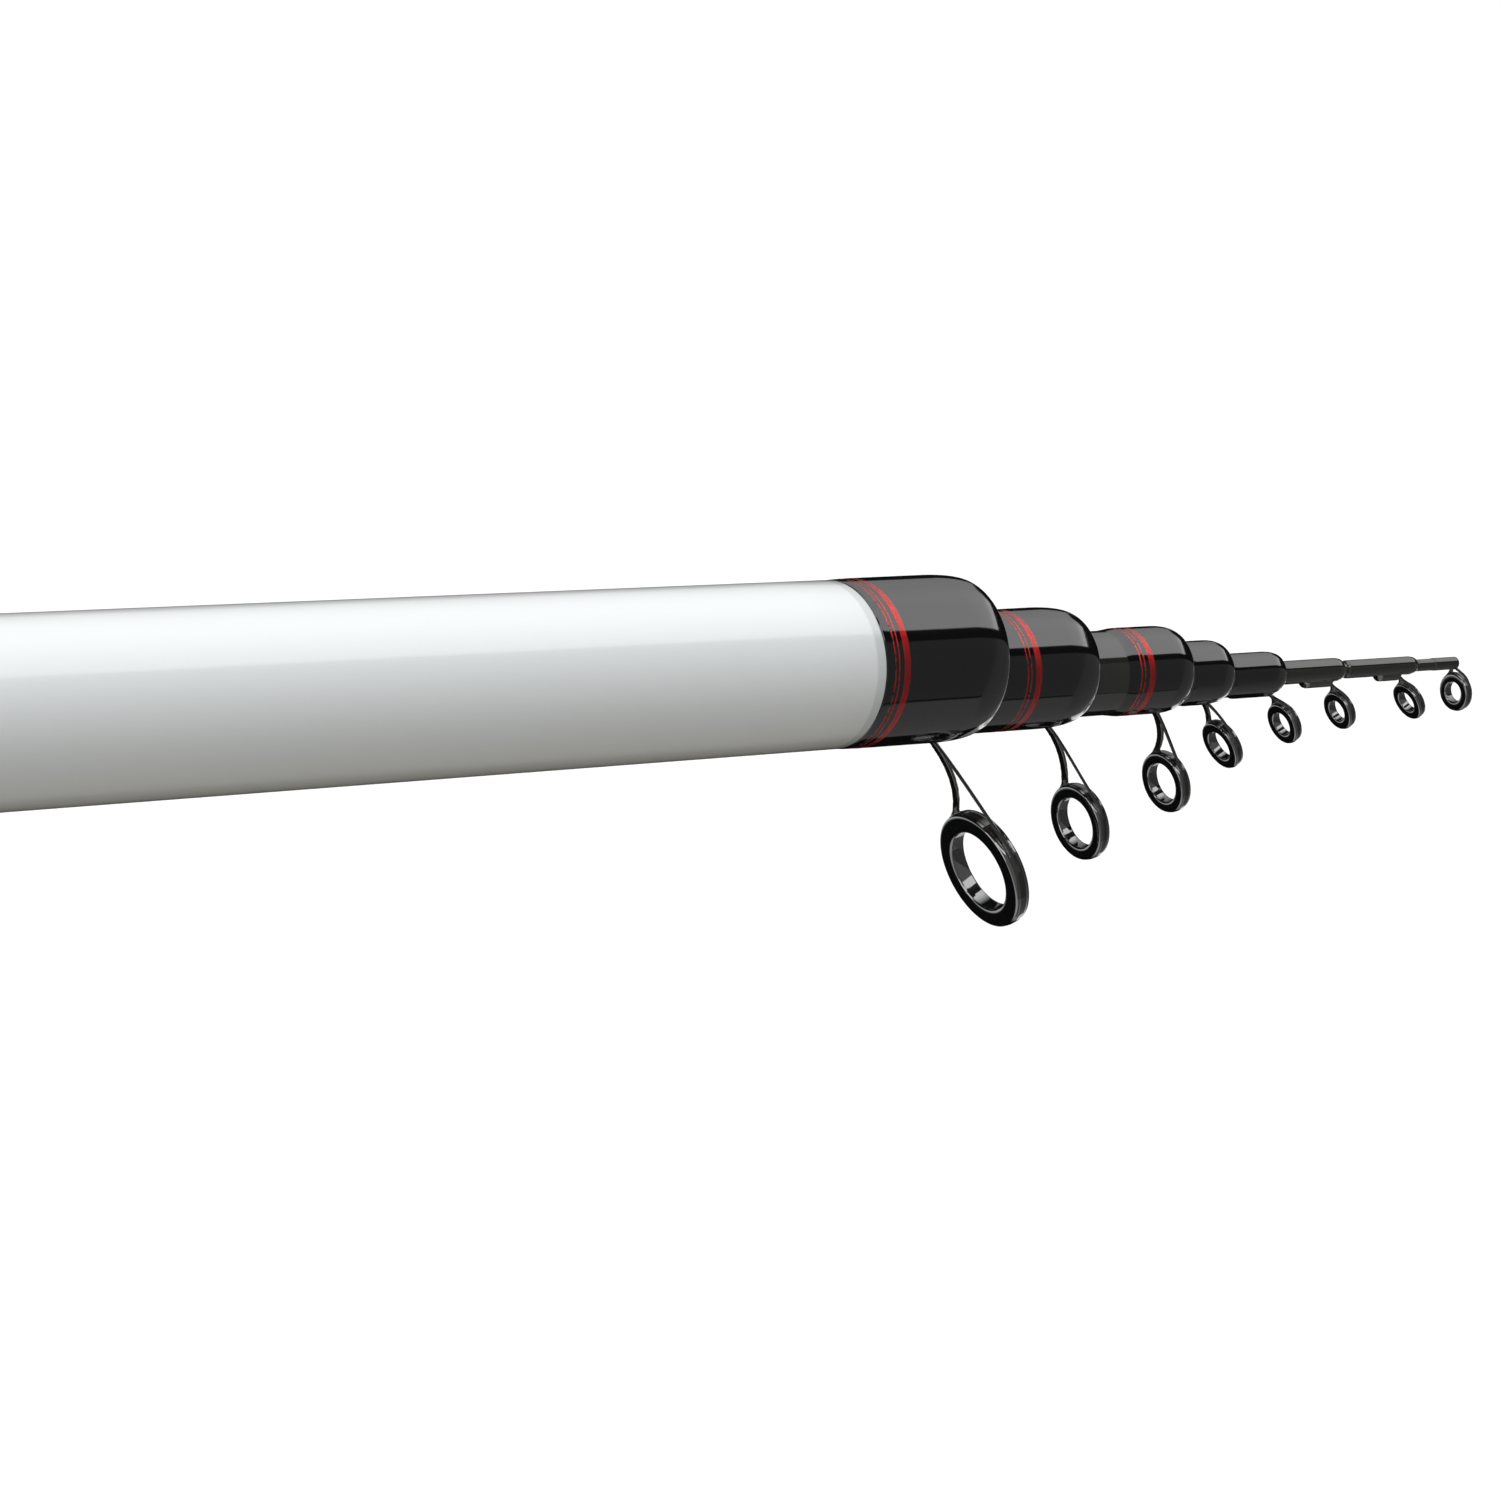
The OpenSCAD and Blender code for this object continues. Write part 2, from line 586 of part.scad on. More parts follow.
// Guides: a stamped frame with a foot, a neck that parts into two legs, and a ring
merge_angle = 62;
join_share = 0.78;
function rim(k) = 0.35 + 0.02 * ring_d[k];
function insert_r(k) = ring_d[k] / 2 - rim(k);
function ring_x(k) = mouth_x(k) + reach[k];
function down(lean) = [sin(lean), -cos(lean)];
function ring_centre(k) = [ring_x(k), -ring_h[k]];
function neck_start(k) = k == 8 ? [mouth_x(8) - sheet[8], -tip_tube_d / 4]
    : [foot_x(k), -foot_top(k) - foot_t[k] / 2];
function leg_join(k) = ring_centre(k) - down(ring_lean[k]) * ring_d[k] / 2 * join_share;
function leg_end(k) = ring_centre(k) - down(ring_lean[k]) * ring_d[k] / 2 * cos(merge_angle);

// Side view of the legs: a curve from the neck to the ring, then straight down the ring
function bow(a, b, c, d, u) = a * pow(1 - u, 3) + b * 3 * u * pow(1 - u, 2)
    + c * 3 * u * u * (1 - u) + d * pow(u, 3);
function leg_line(k) = let (
        a = neck_start(k), d = leg_join(k), pull = norm(d - a) * 0.34,
        b = a + down(neck_lean[k]) * pull, c = d - down(leg_end_lean[k]) * pull
    ) concat([for (i = [0 : curve_steps]) bow(a, b, c, d, i / curve_steps)], [leg_end(k)]);
function side_of(pts, i) = let (
        v = pts[min(i + 1, len(pts) - 1)] - pts[max(i - 1, 0)]
    ) [-v[1], v[0]] / norm(v);
function ribbon(pts, half) = concat(
    [for (i = [0 : len(pts) - 1]) pts[i] + side_of(pts, i) * half],
    reversed([for (i = [0 : len(pts) - 1]) pts[i] - side_of(pts, i) * half])
);

// The same curve as [distance down the chord, distance off it]
function chord(k) = leg_end(k) - neck_start(k);
function chord_line(k) = let (c = chord(k) / norm(chord(k)))
    [for (p = leg_line(k))
        let (v = p - neck_start(k))
        [v * c, v * [-c[1], c[0]]]];

// Distance of a leg's middle from the guide's middle, at a share u of the way down
function leg_spread(k, u) = neck_half[k]
    + (ring_d[k] / 2 * sin(merge_angle) - leg_w[k] / 2 - neck_half[k])
    * pow(max(0, u), leg_flare[k]);
function leg_edge(k, side, grow) = [for (i = [0 : curve_steps])
    let (u = i / curve_steps)
    [norm(chord(k)) * u, leg_spread(k, u) + side * (leg_w[k] / 2 + grow)]];
function leg_outline(k, grow) = concat(leg_edge(k, 1, grow),
    flat_neck[k] ? [[norm(chord(k)), 0], [0, 0]] : reversed(leg_edge(k, -1, grow)));

// One leg: its sheet follows the curve, turned about the chord, and is cut to its outline
module leg(k, grow) {
    turn = leg_turn[k];
    sheet_line = [for (p = chord_line(k))
        [p[0], p[1] * cos(turn) - leg_spread(k, p[0] / norm(chord(k))) * sin(turn)]];
    intersection() {
        rotate([turn, 0, 0]) rotate([90, 0, 0]) linear_extrude(ring_d[k] * 3, center = true)
            polygon(ribbon(sheet_line, sheet[k] / 2 + grow));
        linear_extrude(ring_d[k] * 3, center = true) polygon(leg_outline(k, grow));
    }
}

module legs(k, grow) {
    start = neck_start(k);
    translate([start[0], 0, start[1]])
        rotate([0, 90 - atan2(chord(k)[0], -chord(k)[1]), 0]) {
            leg(k, grow);
            mirror([0, 1, 0]) leg(k, grow);
        }
}

// The foot tapers towards its end and lies along the underside of the blank
module foot(k, grow) {
    w = foot_half_w[k] + grow;
    translate([foot_x(k), 0, -foot_top(k) - foot_t[k] - grow]) linear_extrude(foot_t[k] + 2 * grow)
        polygon([
            [-foot_len[k] - grow, w / 3], [-foot_len[k] / 2, w], [sheet[k] / 3, w],
            [sheet[k] / 3, -w], [-foot_len[k] / 2, -w], [-foot_len[k] - grow, -w / 3]
        ]);
}

module at_ring(k) translate([ring_x(k), 0, -ring_h[k]]) rotate([0, 90 - ring_lean[k], 0])
    children();

// Frame ring with rounded outer edges
module frame_ring(k) {
    r = ring_d[k] / 2;
    half = ring_depth[k] * 0.3;
    soft = min(rim(k), half) * 0.55;
    at_ring(k) rotate_extrude($fn = 72) {
        translate([insert_r(k), -half]) square([rim(k) - soft, 2 * half]);
        translate([insert_r(k), -half + soft]) square([rim(k), 2 * (half - soft)]);
        for (side = [-1, 1]) translate([r - soft, side * (half - soft)]) circle(soft, $fn = 32);
    }
}

module guide_frame(k) color(guide_black) on_axis(k) difference() {
    union() {
        legs(k, 0);
        foot(k, 0);
        frame_ring(k);
    }
    at_ring(k) cylinder(h = ring_depth[k] * 2, r = insert_r(k), center = true, $fn = 72);
}

// Ceramic ring: a flat land in the bore and a rounded face out to the frame
module guide_ring(k) color(ceramic) on_axis(k) at_ring(k) rotate_extrude($fn = 72) {
    bore_r = ring_bore[k] / 2;
    half = ring_depth[k] / 2;
    crest_r = bore_r + 0.36 * (insert_r(k) - bore_r);
    inner = shoulder_pts(half, crest_r, 0.68 * half, bore_r);
    outer = shoulder_pts(half, crest_r, 0.6 * half, insert_r(k));
    face = concat(reversed(inner), [for (i = [1 : len(outer) - 1]) outer[i]]);
    polygon(concat(
        [for (p = face) [p[1], p[0]]],
        reversed([for (p = face) [p[1], -p[0]]])
    ));
}

// Tip: the last guide's frame is a tube over the tip with two arms down to the ring
module tip_tube() turned([
    [tip_d / 2, mouth_x(8) - tip_tube_len], [tip_tube_d / 2, mouth_x(8) - tip_tube_len],
    [tip_tube_d / 2, mouth_x(8)], [tip_d / 2, mouth_x(8) + 0.3], [0, mouth_x(8) + 0.3],
    [0, mouth_x(8)], [tip_d / 2, mouth_x(8)]
]);

module tip_space() turned([
    [0, mouth_x(8) - tip_tube_len - 1], [outer_r(8, mouth_x(8) - tip_tube_len - 1),
    mouth_x(8) - tip_tube_len - 1], [tip_d / 2, mouth_x(8)], [0, mouth_x(8)]
]);

module tip_guide_frame() color(guide_black) on_axis(8) difference() {
    union() {
        tip_tube();
        legs(8, 0);
        frame_ring(8);
    }
    tip_space();
    at_ring(8) cylinder(h = ring_depth[8] * 2, r = insert_r(8), center = true, $fn = 72);
}

module tip_wrap() color(lacquer) on_axis(8) difference() {
    turned([
        [0, mouth_x(8) - tip_tube_len - tip_wrap_len],
        [tip_wrap_d / 2 - 0.1, mouth_x(8) - tip_tube_len - tip_wrap_len],
        [tip_wrap_d / 2, mouth_x(8) - tip_tube_len - tip_wrap_len + 0.3],
        [tip_wrap_d / 2, mouth_x(8) - tip_tube_len], [0, mouth_x(8) - tip_tube_len]
    ]);
    turned([
        [0, mouth_x(8) - tip_tube_len - tip_wrap_len - 1],
        [outer_r(8, mouth_x(8) - tip_tube_len - tip_wrap_len - 1),
            mouth_x(8) - tip_tube_len - tip_wrap_len - 1],
        [outer_r(8, mouth_x(8) - tip_tube_len + 1), mouth_x(8) - tip_tube_len + 1],
        [0, mouth_x(8) - tip_tube_len + 1]
    ]);
}

// Reel seat: a curved plate bound under the butt, a fixed hood in front and a sliding one behind
plate_end_r = butt_r(seat_x) + 1;
plate_x1 = seat_x + plate_len;
bed_x0 = seat_x + plate_foot_len + 5;
bed_x1 = plate_x1 - plate_foot_len - 5;
edge_angle = 7;
edge_r = plate_r - plate_edge_t;
fixed_hood_x = bed_x1 - fixed_hood_len;
sliding_hood_x = bed_x0 + 2;

module reel_plate() color(seat_black) {
    turned_sector([
        [butt_r(seat_x), seat_x], [plate_end_r, seat_x],
        [plate_end_r, seat_x + plate_foot_len], [plate_r, bed_x0], [plate_r, bed_x1],
        [plate_end_r, plate_x1 - plate_foot_len], [plate_end_r, plate_x1],
        [butt_r(plate_x1), plate_x1]
    ], plate_half_angle - edge_angle);
    for (side = [-1, 1]) rotate([side * (plate_half_angle - edge_angle / 2 - 0.5), 0, 0])
        ring_sector(edge_r, plate_r - 0.03, bed_x0 + 0.3, bed_x1 - 0.3, edge_angle / 2 + 0.5);
}

// Thread wraps that bind the plate's thin ends to the butt
wrap_t = 0.35;
module plate_wrap(x0, x1) difference() {
    union() {
        turned([
            [butt_r(x0), x0], [butt_r(x0) + wrap_t, x0 + 0.4],
            [butt_r(x1) + wrap_t, x1 - 0.4], [butt_r(x1), x1]
        ]);
        turned_sector([
            [butt_r(x0), x0], [plate_end_r + wrap_t, x0 + 0.8],
            [plate_end_r + wrap_t, x1 - 0.8], [butt_r(x1), x1]
        ], plate_half_angle - edge_angle + 3);
    }
    reel_plate();
}

module reel_plate_wraps() color(lacquer) {
    plate_wrap(seat_x - 2, seat_x + plate_foot_len - 1);
    plate_wrap(plate_x1 - plate_foot_len + 1, plate_x1 + 2);
}

hood_out_r = plate_r + pocket_h + hood_wall;
hood_half_angle = plate_half_angle + 5;
pocket_half_angle = plate_half_angle - 4;
module fixed_hood() color(seat_black) difference() {
    turned_sector(concat(
        [[plate_r, fixed_hood_x], [hood_out_r, fixed_hood_x]],
        [[hood_out_r, fixed_hood_x + fixed_hood_len / 2]],
        shoulder_pts(hood_out_r, fixed_hood_x + fixed_hood_len / 2, plate_r + hood_wall,
            fixed_hood_x + fixed_hood_len),
        [[plate_r, fixed_hood_x + fixed_hood_len]]
    ), plate_half_angle);
    ring_sector(plate_r - 1, plate_r + pocket_h, fixed_hood_x - 1, fixed_hood_x + pocket_len,
        pocket_half_angle);
}

// The sliding hood wraps the plate's edges and carries the lever between two ears
pin_x = sliding_hood_x - 1.5;
pin_z = plate_r + 5.6;
ear_t = 2;
jaw_r = butt_r(bed_x0) + 0.35;
module sliding_hood() color(seat_black) difference() {
    union() {
        turned_sector(concat(
            [[jaw_r, sliding_hood_x + sliding_hood_len]],
            [[hood_out_r, sliding_hood_x + sliding_hood_len]],
            reversed(shoulder_pts(plate_r + hood_wall + 2.6, sliding_hood_x, hood_out_r,
                sliding_hood_x + sliding_hood_len - pocket_len)),
            [[jaw_r, sliding_hood_x]]
        ), hood_half_angle);
        for (side = [-1, 1])
            translate([0, side * (lever_w / 2 + 0.2 + ear_t / 2), 0])
                rotate([90, 0, 0]) linear_extrude(ear_t, center = true) {
                    translate([pin_x, -pin_z]) circle(pin_d / 2 + 2.1, $fn = 48);
                    polygon([
                        [pin_x, -pin_z + pin_d / 2 + 1.7], [pin_x, -pin_z - pin_d / 2 - 1.7],
                        [sliding_hood_x + 6, -pin_z - pin_d / 2 - 1.2],
                        [sliding_hood_x + 6, -plate_r - 1]
                    ]);
                }
    }
    ring_sector(plate_r - 1, plate_r + pocket_h, sliding_hood_x + sliding_hood_len - pocket_len,
        sliding_hood_x + sliding_hood_len + 1, pocket_half_angle);
    ring_sector(edge_r - hood_fit, plate_r + hood_fit, sliding_hood_x - 6,
        sliding_hood_x + sliding_hood_len + 2, plate_half_angle + 0.4);
    ring_sector(jaw_r - 3, plate_r - 0.4, sliding_hood_x - 7,
        sliding_hood_x + sliding_hood_len + 3, plate_half_angle - 5);
    translate([pin_x, 0, -pin_z]) rotate([90, 0, 0])
        cylinder(h = 40, r = pin_d / 2, center = true, $fn = 48);
    translate([pin_x - 5.4, -lever_w / 2 - 0.1, -pin_z - 6])
        cube([5.4 + pin_d / 2 + 3.4, lever_w + 0.2, 12]);
}

module lever_pin() color(metal) translate([pin_x, 0, -pin_z]) rotate([90, 0, 0])
    cylinder(h = lever_w + 0.4 + 2 * ear_t + 0.8, r = pin_d / 2, center = true, $fn = 48);

// Lever with a cam at its pin, drawn locked, with a thumb lip at its end
function arc(middle, r, from, to) = [for (i = [0 : 14])
    let (a = from + (to - from) * i / 14) middle + r * [cos(a), sin(a)]];
eye_r = pin_d / 2 + 2;
cam_r = 3.2;
cam_y = 2.1;
meet_y = (eye_r * eye_r - cam_r * cam_r + cam_y * cam_y) / (2 * cam_y);
eye_angle = asin(meet_y / eye_r);
cam_angle = asin((meet_y - cam_y) / cam_r);
module lock_lever() color(metal) translate([pin_x, 0, -pin_z]) rotate([90, 0, 0])
    linear_extrude(lever_w, center = true) difference() {
        polygon(concat(
            arc([0, 0], eye_r, -90, eye_angle - 4), arc([0, cam_y], cam_r, cam_angle + 4, 176 - cam_angle),
            arc([0, 0], eye_r, 184 - eye_angle, 188),
            [[-lever_len + 5, -1], [-lever_len - 0.6, -lever_t - 1.6],
                [-lever_len, -lever_t - 3.4], [-lever_len + 5, -lever_t - 1.2]]
        ));
        circle(pin_d / 2 + pin_fit, $fn = 48);
    }

// Butt cap: a plug with a fluted flange, a rubber pad outside and a rubber buffer inside
bush_r = bush_bore / 2;
module cap_bush() color(metal) turned([
    [bush_r, 0], [rear_bore_r(1), 0], [butt_bore_r(bush_len), bush_len], [bush_r, bush_len]
]);
function butt_bore_r(x) = rear_bore_r(1)
    + (seat_r(1) - rear_bore_r(1)) * x / (mouth_x(1) - seat[2]);

oring_r = bush_r + 1.2;
module cap_oring() color(rubber) along_x() rotate_extrude($fn = 96)
    translate([oring_r, -oring_t / 2]) circle(oring_t / 2, $fn = 32);

cap_front = -oring_t;
cap_rear = cap_front - cap_t;
plug_r = bush_r - plug_fit;
module butt_cap() color(seat_black) difference() {
    turned([
        [0, bush_len], [plug_r, bush_len], [plug_r, cap_front], [cap_d / 2 - 0.6, cap_front],
        [cap_d / 2, cap_front - 0.6], [cap_d / 2, cap_rear + 1.2], [cap_d / 2 - 1.2, cap_rear],
        [pad_d / 2, cap_rear], [pad_d / 2, cap_rear + 2.5], [0, cap_rear + 2.5]
    ]);
    for (i = [0 : cap_flutes - 1]) rotate([360 / cap_flutes * i, 0, 0])
        translate([0, 0, cap_d / 2 + 0.6]) along_x()
            cylinder(h = 3 * cap_t, r = 1.2, center = true, $fn = 24);
}

module cap_pad() color(rubber) turned([
    [0, cap_rear + 2.5], [pad_d / 2, cap_rear + 2.5], [pad_d / 2, cap_rear - pad_proud + 0.8],
    [pad_d / 2 - 0.8, cap_rear - pad_proud], [0, cap_rear - pad_proud]
]);

module cap_buffer() color(rubber) turned([
    [0, bush_len], [plug_r - 1, bush_len], [plug_r - 1.4, bush_len + buffer_t],
    [0, bush_len + buffer_t]
]);

color("white") blank(1);  // butt_blank
trimmed_collar(1);  // butt_collar
trim(1);  // butt_trim
guide_frame(1);  // guide_1_frame
guide_ring(1);  // guide_1_ring
color(carbon) blank(2);  // section_2_blank
trimmed_collar(2);  // section_2_collar
trim(2);  // section_2_trim
guide_frame(2);  // guide_2_frame
guide_ring(2);  // guide_2_ring
color(carbon) blank(3);  // section_3_blank
trimmed_collar(3);  // section_3_collar
trim(3);  // section_3_trim
guide_frame(3);  // guide_3_frame
guide_ring(3);  // guide_3_ring
color(carbon) blank(4);  // section_4_blank
color(lacquer) collar(4);  // section_4_collar
guide_frame(4);  // guide_4_frame
guide_ring(4);  // guide_4_ring
color(carbon) blank(5);  // section_5_blank
color(lacquer) collar(5);  // section_5_collar
guide_frame(5);  // guide_5_frame
guide_ring(5);  // guide_5_ring
color(carbon) blank(6);  // section_6_blank
color(lacquer) collar(6);  // section_6_wrap
guide_frame(6);  // guide_6_frame
guide_ring(6);  // guide_6_ring
color(carbon) blank(7);  // section_7_blank
color(lacquer) collar(7);  // section_7_wrap
guide_frame(7);  // guide_7_frame
guide_ring(7);  // guide_7_ring
tip_blank();
tip_wrap();
tip_guide_frame();
guide_ring(8);  // tip_guide_ring
reel_plate();
reel_plate_wraps();
fixed_hood();
sliding_hood();
lever_pin();
lock_lever();
cap_bush();
cap_oring();
butt_cap();
cap_pad();
cap_buffer();
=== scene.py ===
import math

import bmesh
import bpy
from mathutils import Matrix, Vector


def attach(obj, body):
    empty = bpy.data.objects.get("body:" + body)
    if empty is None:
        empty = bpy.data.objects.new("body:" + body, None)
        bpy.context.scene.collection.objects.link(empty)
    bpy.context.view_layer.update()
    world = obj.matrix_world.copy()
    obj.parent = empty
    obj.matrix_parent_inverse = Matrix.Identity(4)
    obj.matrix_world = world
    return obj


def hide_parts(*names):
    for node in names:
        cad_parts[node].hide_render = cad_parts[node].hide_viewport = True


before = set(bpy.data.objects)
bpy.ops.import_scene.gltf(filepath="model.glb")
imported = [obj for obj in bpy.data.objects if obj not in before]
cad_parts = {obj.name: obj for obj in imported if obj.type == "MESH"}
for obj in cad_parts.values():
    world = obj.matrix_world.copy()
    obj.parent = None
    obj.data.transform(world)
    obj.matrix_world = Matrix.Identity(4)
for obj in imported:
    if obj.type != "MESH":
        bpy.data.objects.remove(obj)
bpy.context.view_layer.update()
mm = 0.001

# the camera, as fitted to the photograph
cameraSet = {
    "lens": 125.21,
    "place": (0.42682, -0.56156, 0.27964),
    "right": (0.763043, -0.602142, 0.234925),
    "up": (0.054388, 0.421993, 0.904966),
    "ahead": (0.644055, 0.677752, -0.354748),
}


def addCamera(settings):
    camera = bpy.data.cameras.new("photoCamera")
    camera.lens = settings["lens"]
    camera.sensor_width = 36
    camera.clip_start = 0.01
    holder = bpy.data.objects.new("photoCamera", camera)
    bpy.context.scene.collection.objects.link(holder)
    right, up, ahead = (Vector(settings[n]) for n in ("right", "up", "ahead"))
    turn = Matrix((right, up, -ahead)).transposed().to_4x4()
    holder.matrix_world = Matrix.Translation(settings["place"]) @ turn
    bpy.context.scene.camera = holder


addCamera(cameraSet)
print("camera placed")


def toLinear(hexText):
    parts = [int(hexText[i:i + 2], 16) / 255 for i in (1, 3, 5)]
    parts = [p / 12.92 if p <= 0.04045 else ((p + 0.055) / 1.055) ** 2.4 for p in parts]
    return (*parts, 1.0)


def addNode(tree, kind, settings=None, links=None):
    node = tree.nodes.new(kind)
    for name, value in (settings or {}).items():
        if isinstance(name, int) or name in node.inputs:
            node.inputs[name].default_value = value
        else:
            setattr(node, name, value)
    for name, source in (links or {}).items():
        tree.links.new(source, node.inputs[name])
    return node


def startMaterial(name, settings):
    material = bpy.data.materials.new(name)
    material.use_nodes = True
    tree = material.node_tree
    tree.nodes.clear()
    shader = addNode(tree, "ShaderNodeBsdfPrincipled", settings)
    addNode(tree, "ShaderNodeOutputMaterial", links={"Surface": shader.outputs["BSDF"]})
    return material, tree, shader


def waveScale(pitchMm):
    # the Wave Texture's scale that gives this pitch on coordinates in metres
    return 2 * math.pi / (20 * pitchMm * mm)


def noise(tree, sizeMm, detail, vector):
    return addNode(tree, "ShaderNodeTexNoise", {"Scale": 1 / (sizeMm * mm), "Detail": detail},
                   {"Vector": vector})


def tinted(tree, low, high, factor):
    # the colour between two hex colours at a factor
    mix = addNode(tree, "ShaderNodeMix", {
        "data_type": "RGBA", 6: toLinear(low), 7: toLinear(high)}, {"Factor": factor})
    return mix.outputs[2]


def bumped(tree, strength, depthMm, height):
    bump = addNode(tree, "ShaderNodeBump", {"Strength": strength, "Distance": depthMm * mm},
                   {"Height": height})
    return bump.outputs["Normal"]


def whiteLacquer():
    # sprayed two-pack gloss white: deep wet shine, faint orange peel; the last
    # millimetres before its rounded edge are clear coat over it, a shade greyer
    look = {"white": "#f1f3f2", "edge": "#d9dcda", "under": "#141415", "edgeFrom": 0.9708,
            "edgeTo": 0.9713, "coatEnd": 0.97285, "peelMm": 1.6}
    material, tree, shader = startMaterial("whiteLacquer", {
        "Roughness": 0.32, "Coat Weight": 1.0, "Coat Roughness": 0.02, "Coat IOR": 1.5})
    place = addNode(tree, "ShaderNodeTexCoord")
    axes = addNode(tree, "ShaderNodeSeparateXYZ", links={0: place.outputs["Object"]})
    toEdge = addNode(tree, "ShaderNodeMapRange", {
        "From Min": look["edgeFrom"], "From Max": look["edgeTo"],
        "interpolation_type": "SMOOTHSTEP"}, {"Value": axes.outputs["X"]})
    past = addNode(tree, "ShaderNodeMath", {"operation": "GREATER_THAN", 1: look["coatEnd"]},
                   {0: axes.outputs["X"]})
    pale = tinted(tree, look["white"], look["edge"], toEdge.outputs["Result"])
    tint = addNode(tree, "ShaderNodeMix", {"data_type": "RGBA", 7: toLinear(look["under"])},
                   {"Factor": past.outputs[0], 6: pale})
    peel = noise(tree, look["peelMm"], 1.0, place.outputs["Object"])
    tree.links.new(tint.outputs[2], shader.inputs["Base Color"])
    tree.links.new(bumped(tree, 0.02, 0.02, peel.outputs["Fac"]), shader.inputs["Coat Normal"])
    return material


def blackLacquer(name, look):
    # epoxy over wound black thread: mirror gloss on top, faint turns of thread beneath, and a
    # near-white painted reflection mixed in where a mask on the underside near the mouth is set
    material, tree, shader = startMaterial(name, {
        "Roughness": 0.08, "Coat Weight": 1.0, "Coat Roughness": 0.012, "Coat IOR": 1.52})
    place = addNode(tree, "ShaderNodeTexCoord")
    turns = addNode(tree, "ShaderNodeTexWave", {
        "wave_type": "BANDS", "bands_direction": "X", "Scale": waveScale(look["threadMm"]),
        "Distortion": 0.6, "Detail": 1.0, "Detail Scale": 2.0},
        {"Vector": place.outputs["Object"]})
    tint = tinted(tree, look["black"], look["turn"], turns.outputs["Fac"])
    flow = noise(tree, look["flowMm"], 0.0, place.outputs["Object"])
    # painted reflection: this mask, set on the collar undersides near the first mouths, mixes a
    # near-white colour into the black
    run = addNode(tree, "ShaderNodeAttribute", {"attribute_name": "paintedReflectionMask"})
    both = addNode(tree, "ShaderNodeMix", {"data_type": "RGBA", 7: toLinear(look["run"])},
                   {"Factor": run.outputs["Fac"], 6: tint})
    tree.links.new(both.outputs[2], shader.inputs["Base Color"])
    tree.links.new(bumped(tree, 0.04, 0.03, turns.outputs["Fac"]), shader.inputs["Normal"])
    tree.links.new(bumped(tree, 0.12, 0.05, flow.outputs["Fac"]), shader.inputs["Coat Normal"])
    return material


def redThread(name, look):
    # metallic red thread under the lacquer: slanting fibres that glint, with dark gaps
    material, tree, shader = startMaterial(name, {
        "Metallic": 1.0, "Roughness": 0.36, "Coat Weight": 1.0, "Coat Roughness": 0.02,
        "Coat IOR": 1.5})
    place = addNode(tree, "ShaderNodeUVMap")
    slant = addNode(tree, "ShaderNodeMapping", {"Rotation": (0, 0, math.radians(look["slant"]))},
                    {"Vector": place.outputs["UV"]})
    fibres = addNode(tree, "ShaderNodeTexWave", {
        "wave_type": "BANDS", "bands_direction": "X", "Scale": waveScale(look["fibreMm"]),
        "Distortion": 5.0, "Detail": 3.0, "Detail Scale": 3.0}, {"Vector": slant.outputs["Vector"]})
    drawn = addNode(tree, "ShaderNodeMapping", {"Scale": (1, look["stretch"], 1)},
                    {"Vector": slant.outputs["Vector"]})
    glints = noise(tree, look["glintMm"], 2.0, drawn.outputs["Vector"])
    blend = addNode(tree, "ShaderNodeMix", {0: look["speckle"]},
                    {2: fibres.outputs["Fac"], 3: glints.outputs["Fac"]})
    level = addNode(tree, "ShaderNodeMapRange", {"From Min": 0.34, "From Max": 0.6},
                    {"Value": blend.outputs[0]})
    colour = tinted(tree, look["deep"], look["bright"], level.outputs["Result"])
    if look["gapMm"]:
        gaps = noise(tree, look["gapMm"], 0.0, place.outputs["UV"])
        shown = addNode(tree, "ShaderNodeMapRange", {"From Min": 0.28, "From Max": 0.38},
                        {"Value": gaps.outputs["Fac"]})
        broken = addNode(tree, "ShaderNodeMix", {"data_type": "RGBA", 6: toLinear(look["gap"])},
                         {"Factor": shown.outputs["Result"], 7: colour})
        colour = broken.outputs[2]
    tree.links.new(colour, shader.inputs["Base Color"])
    tree.links.new(bumped(tree, 0.5, 0.04, fibres.outputs["Fac"]), shader.inputs["Normal"])
    return material


def woundCarbon():
    # carbon blank bound with tape, sanded and clear-coated: fine turns 0.9 mm apart
    look = {"dark": "#1a1a19", "light": "#31312e", "tapeMm": 0.9, "fibreMm": 0.12, "along": 60}
    material, tree, shader = startMaterial("woundCarbon", {
        "Roughness": 0.1, "Coat Weight": 1.0, "Coat Roughness": 0.03, "Coat IOR": 1.5})
    place = addNode(tree, "ShaderNodeTexCoord")
    tape = addNode(tree, "ShaderNodeTexWave", {
        "wave_type": "BANDS", "bands_direction": "X", "wave_profile": "SAW",
        "Scale": waveScale(look["tapeMm"]), "Distortion": 0.3, "Detail": 0.0},
        {"Vector": place.outputs["Object"]})
    stretch = addNode(tree, "ShaderNodeMapping", {
        "Scale": (1 / (look["fibreMm"] * mm), look["along"], look["along"])},
        {"Vector": place.outputs["Object"]})
    fibres = addNode(tree, "ShaderNodeTexNoise", {"Scale": 1.0, "Detail": 2.0},
                     {"Vector": stretch.outputs["Vector"]})
    tree.links.new(tinted(tree, look["dark"], look["light"], fibres.outputs["Fac"]),
                   shader.inputs["Base Color"])
    tree.links.new(bumped(tree, 0.15, 0.02, tape.outputs["Fac"]), shader.inputs["Coat Normal"])
    return material


def clearResin():
    # cured clear epoxy run to a lip: grey against what is behind it, wet shine
    look = {"clear": "#54585a", "deep": "#313436", "cloudMm": 0.8}
    material, tree, shader = startMaterial("clearResin", {
        "Roughness": 0.08, "Coat Weight": 1.0, "Coat Roughness": 0.02, "IOR": 1.55})
    place = addNode(tree, "ShaderNodeTexCoord")
    cloud = noise(tree, look["cloudMm"], 1.0, place.outputs["Object"])
    tree.links.new(tinted(tree, look["deep"], look["clear"], cloud.outputs["Fac"]),
                   shader.inputs["Base Color"])
    return material


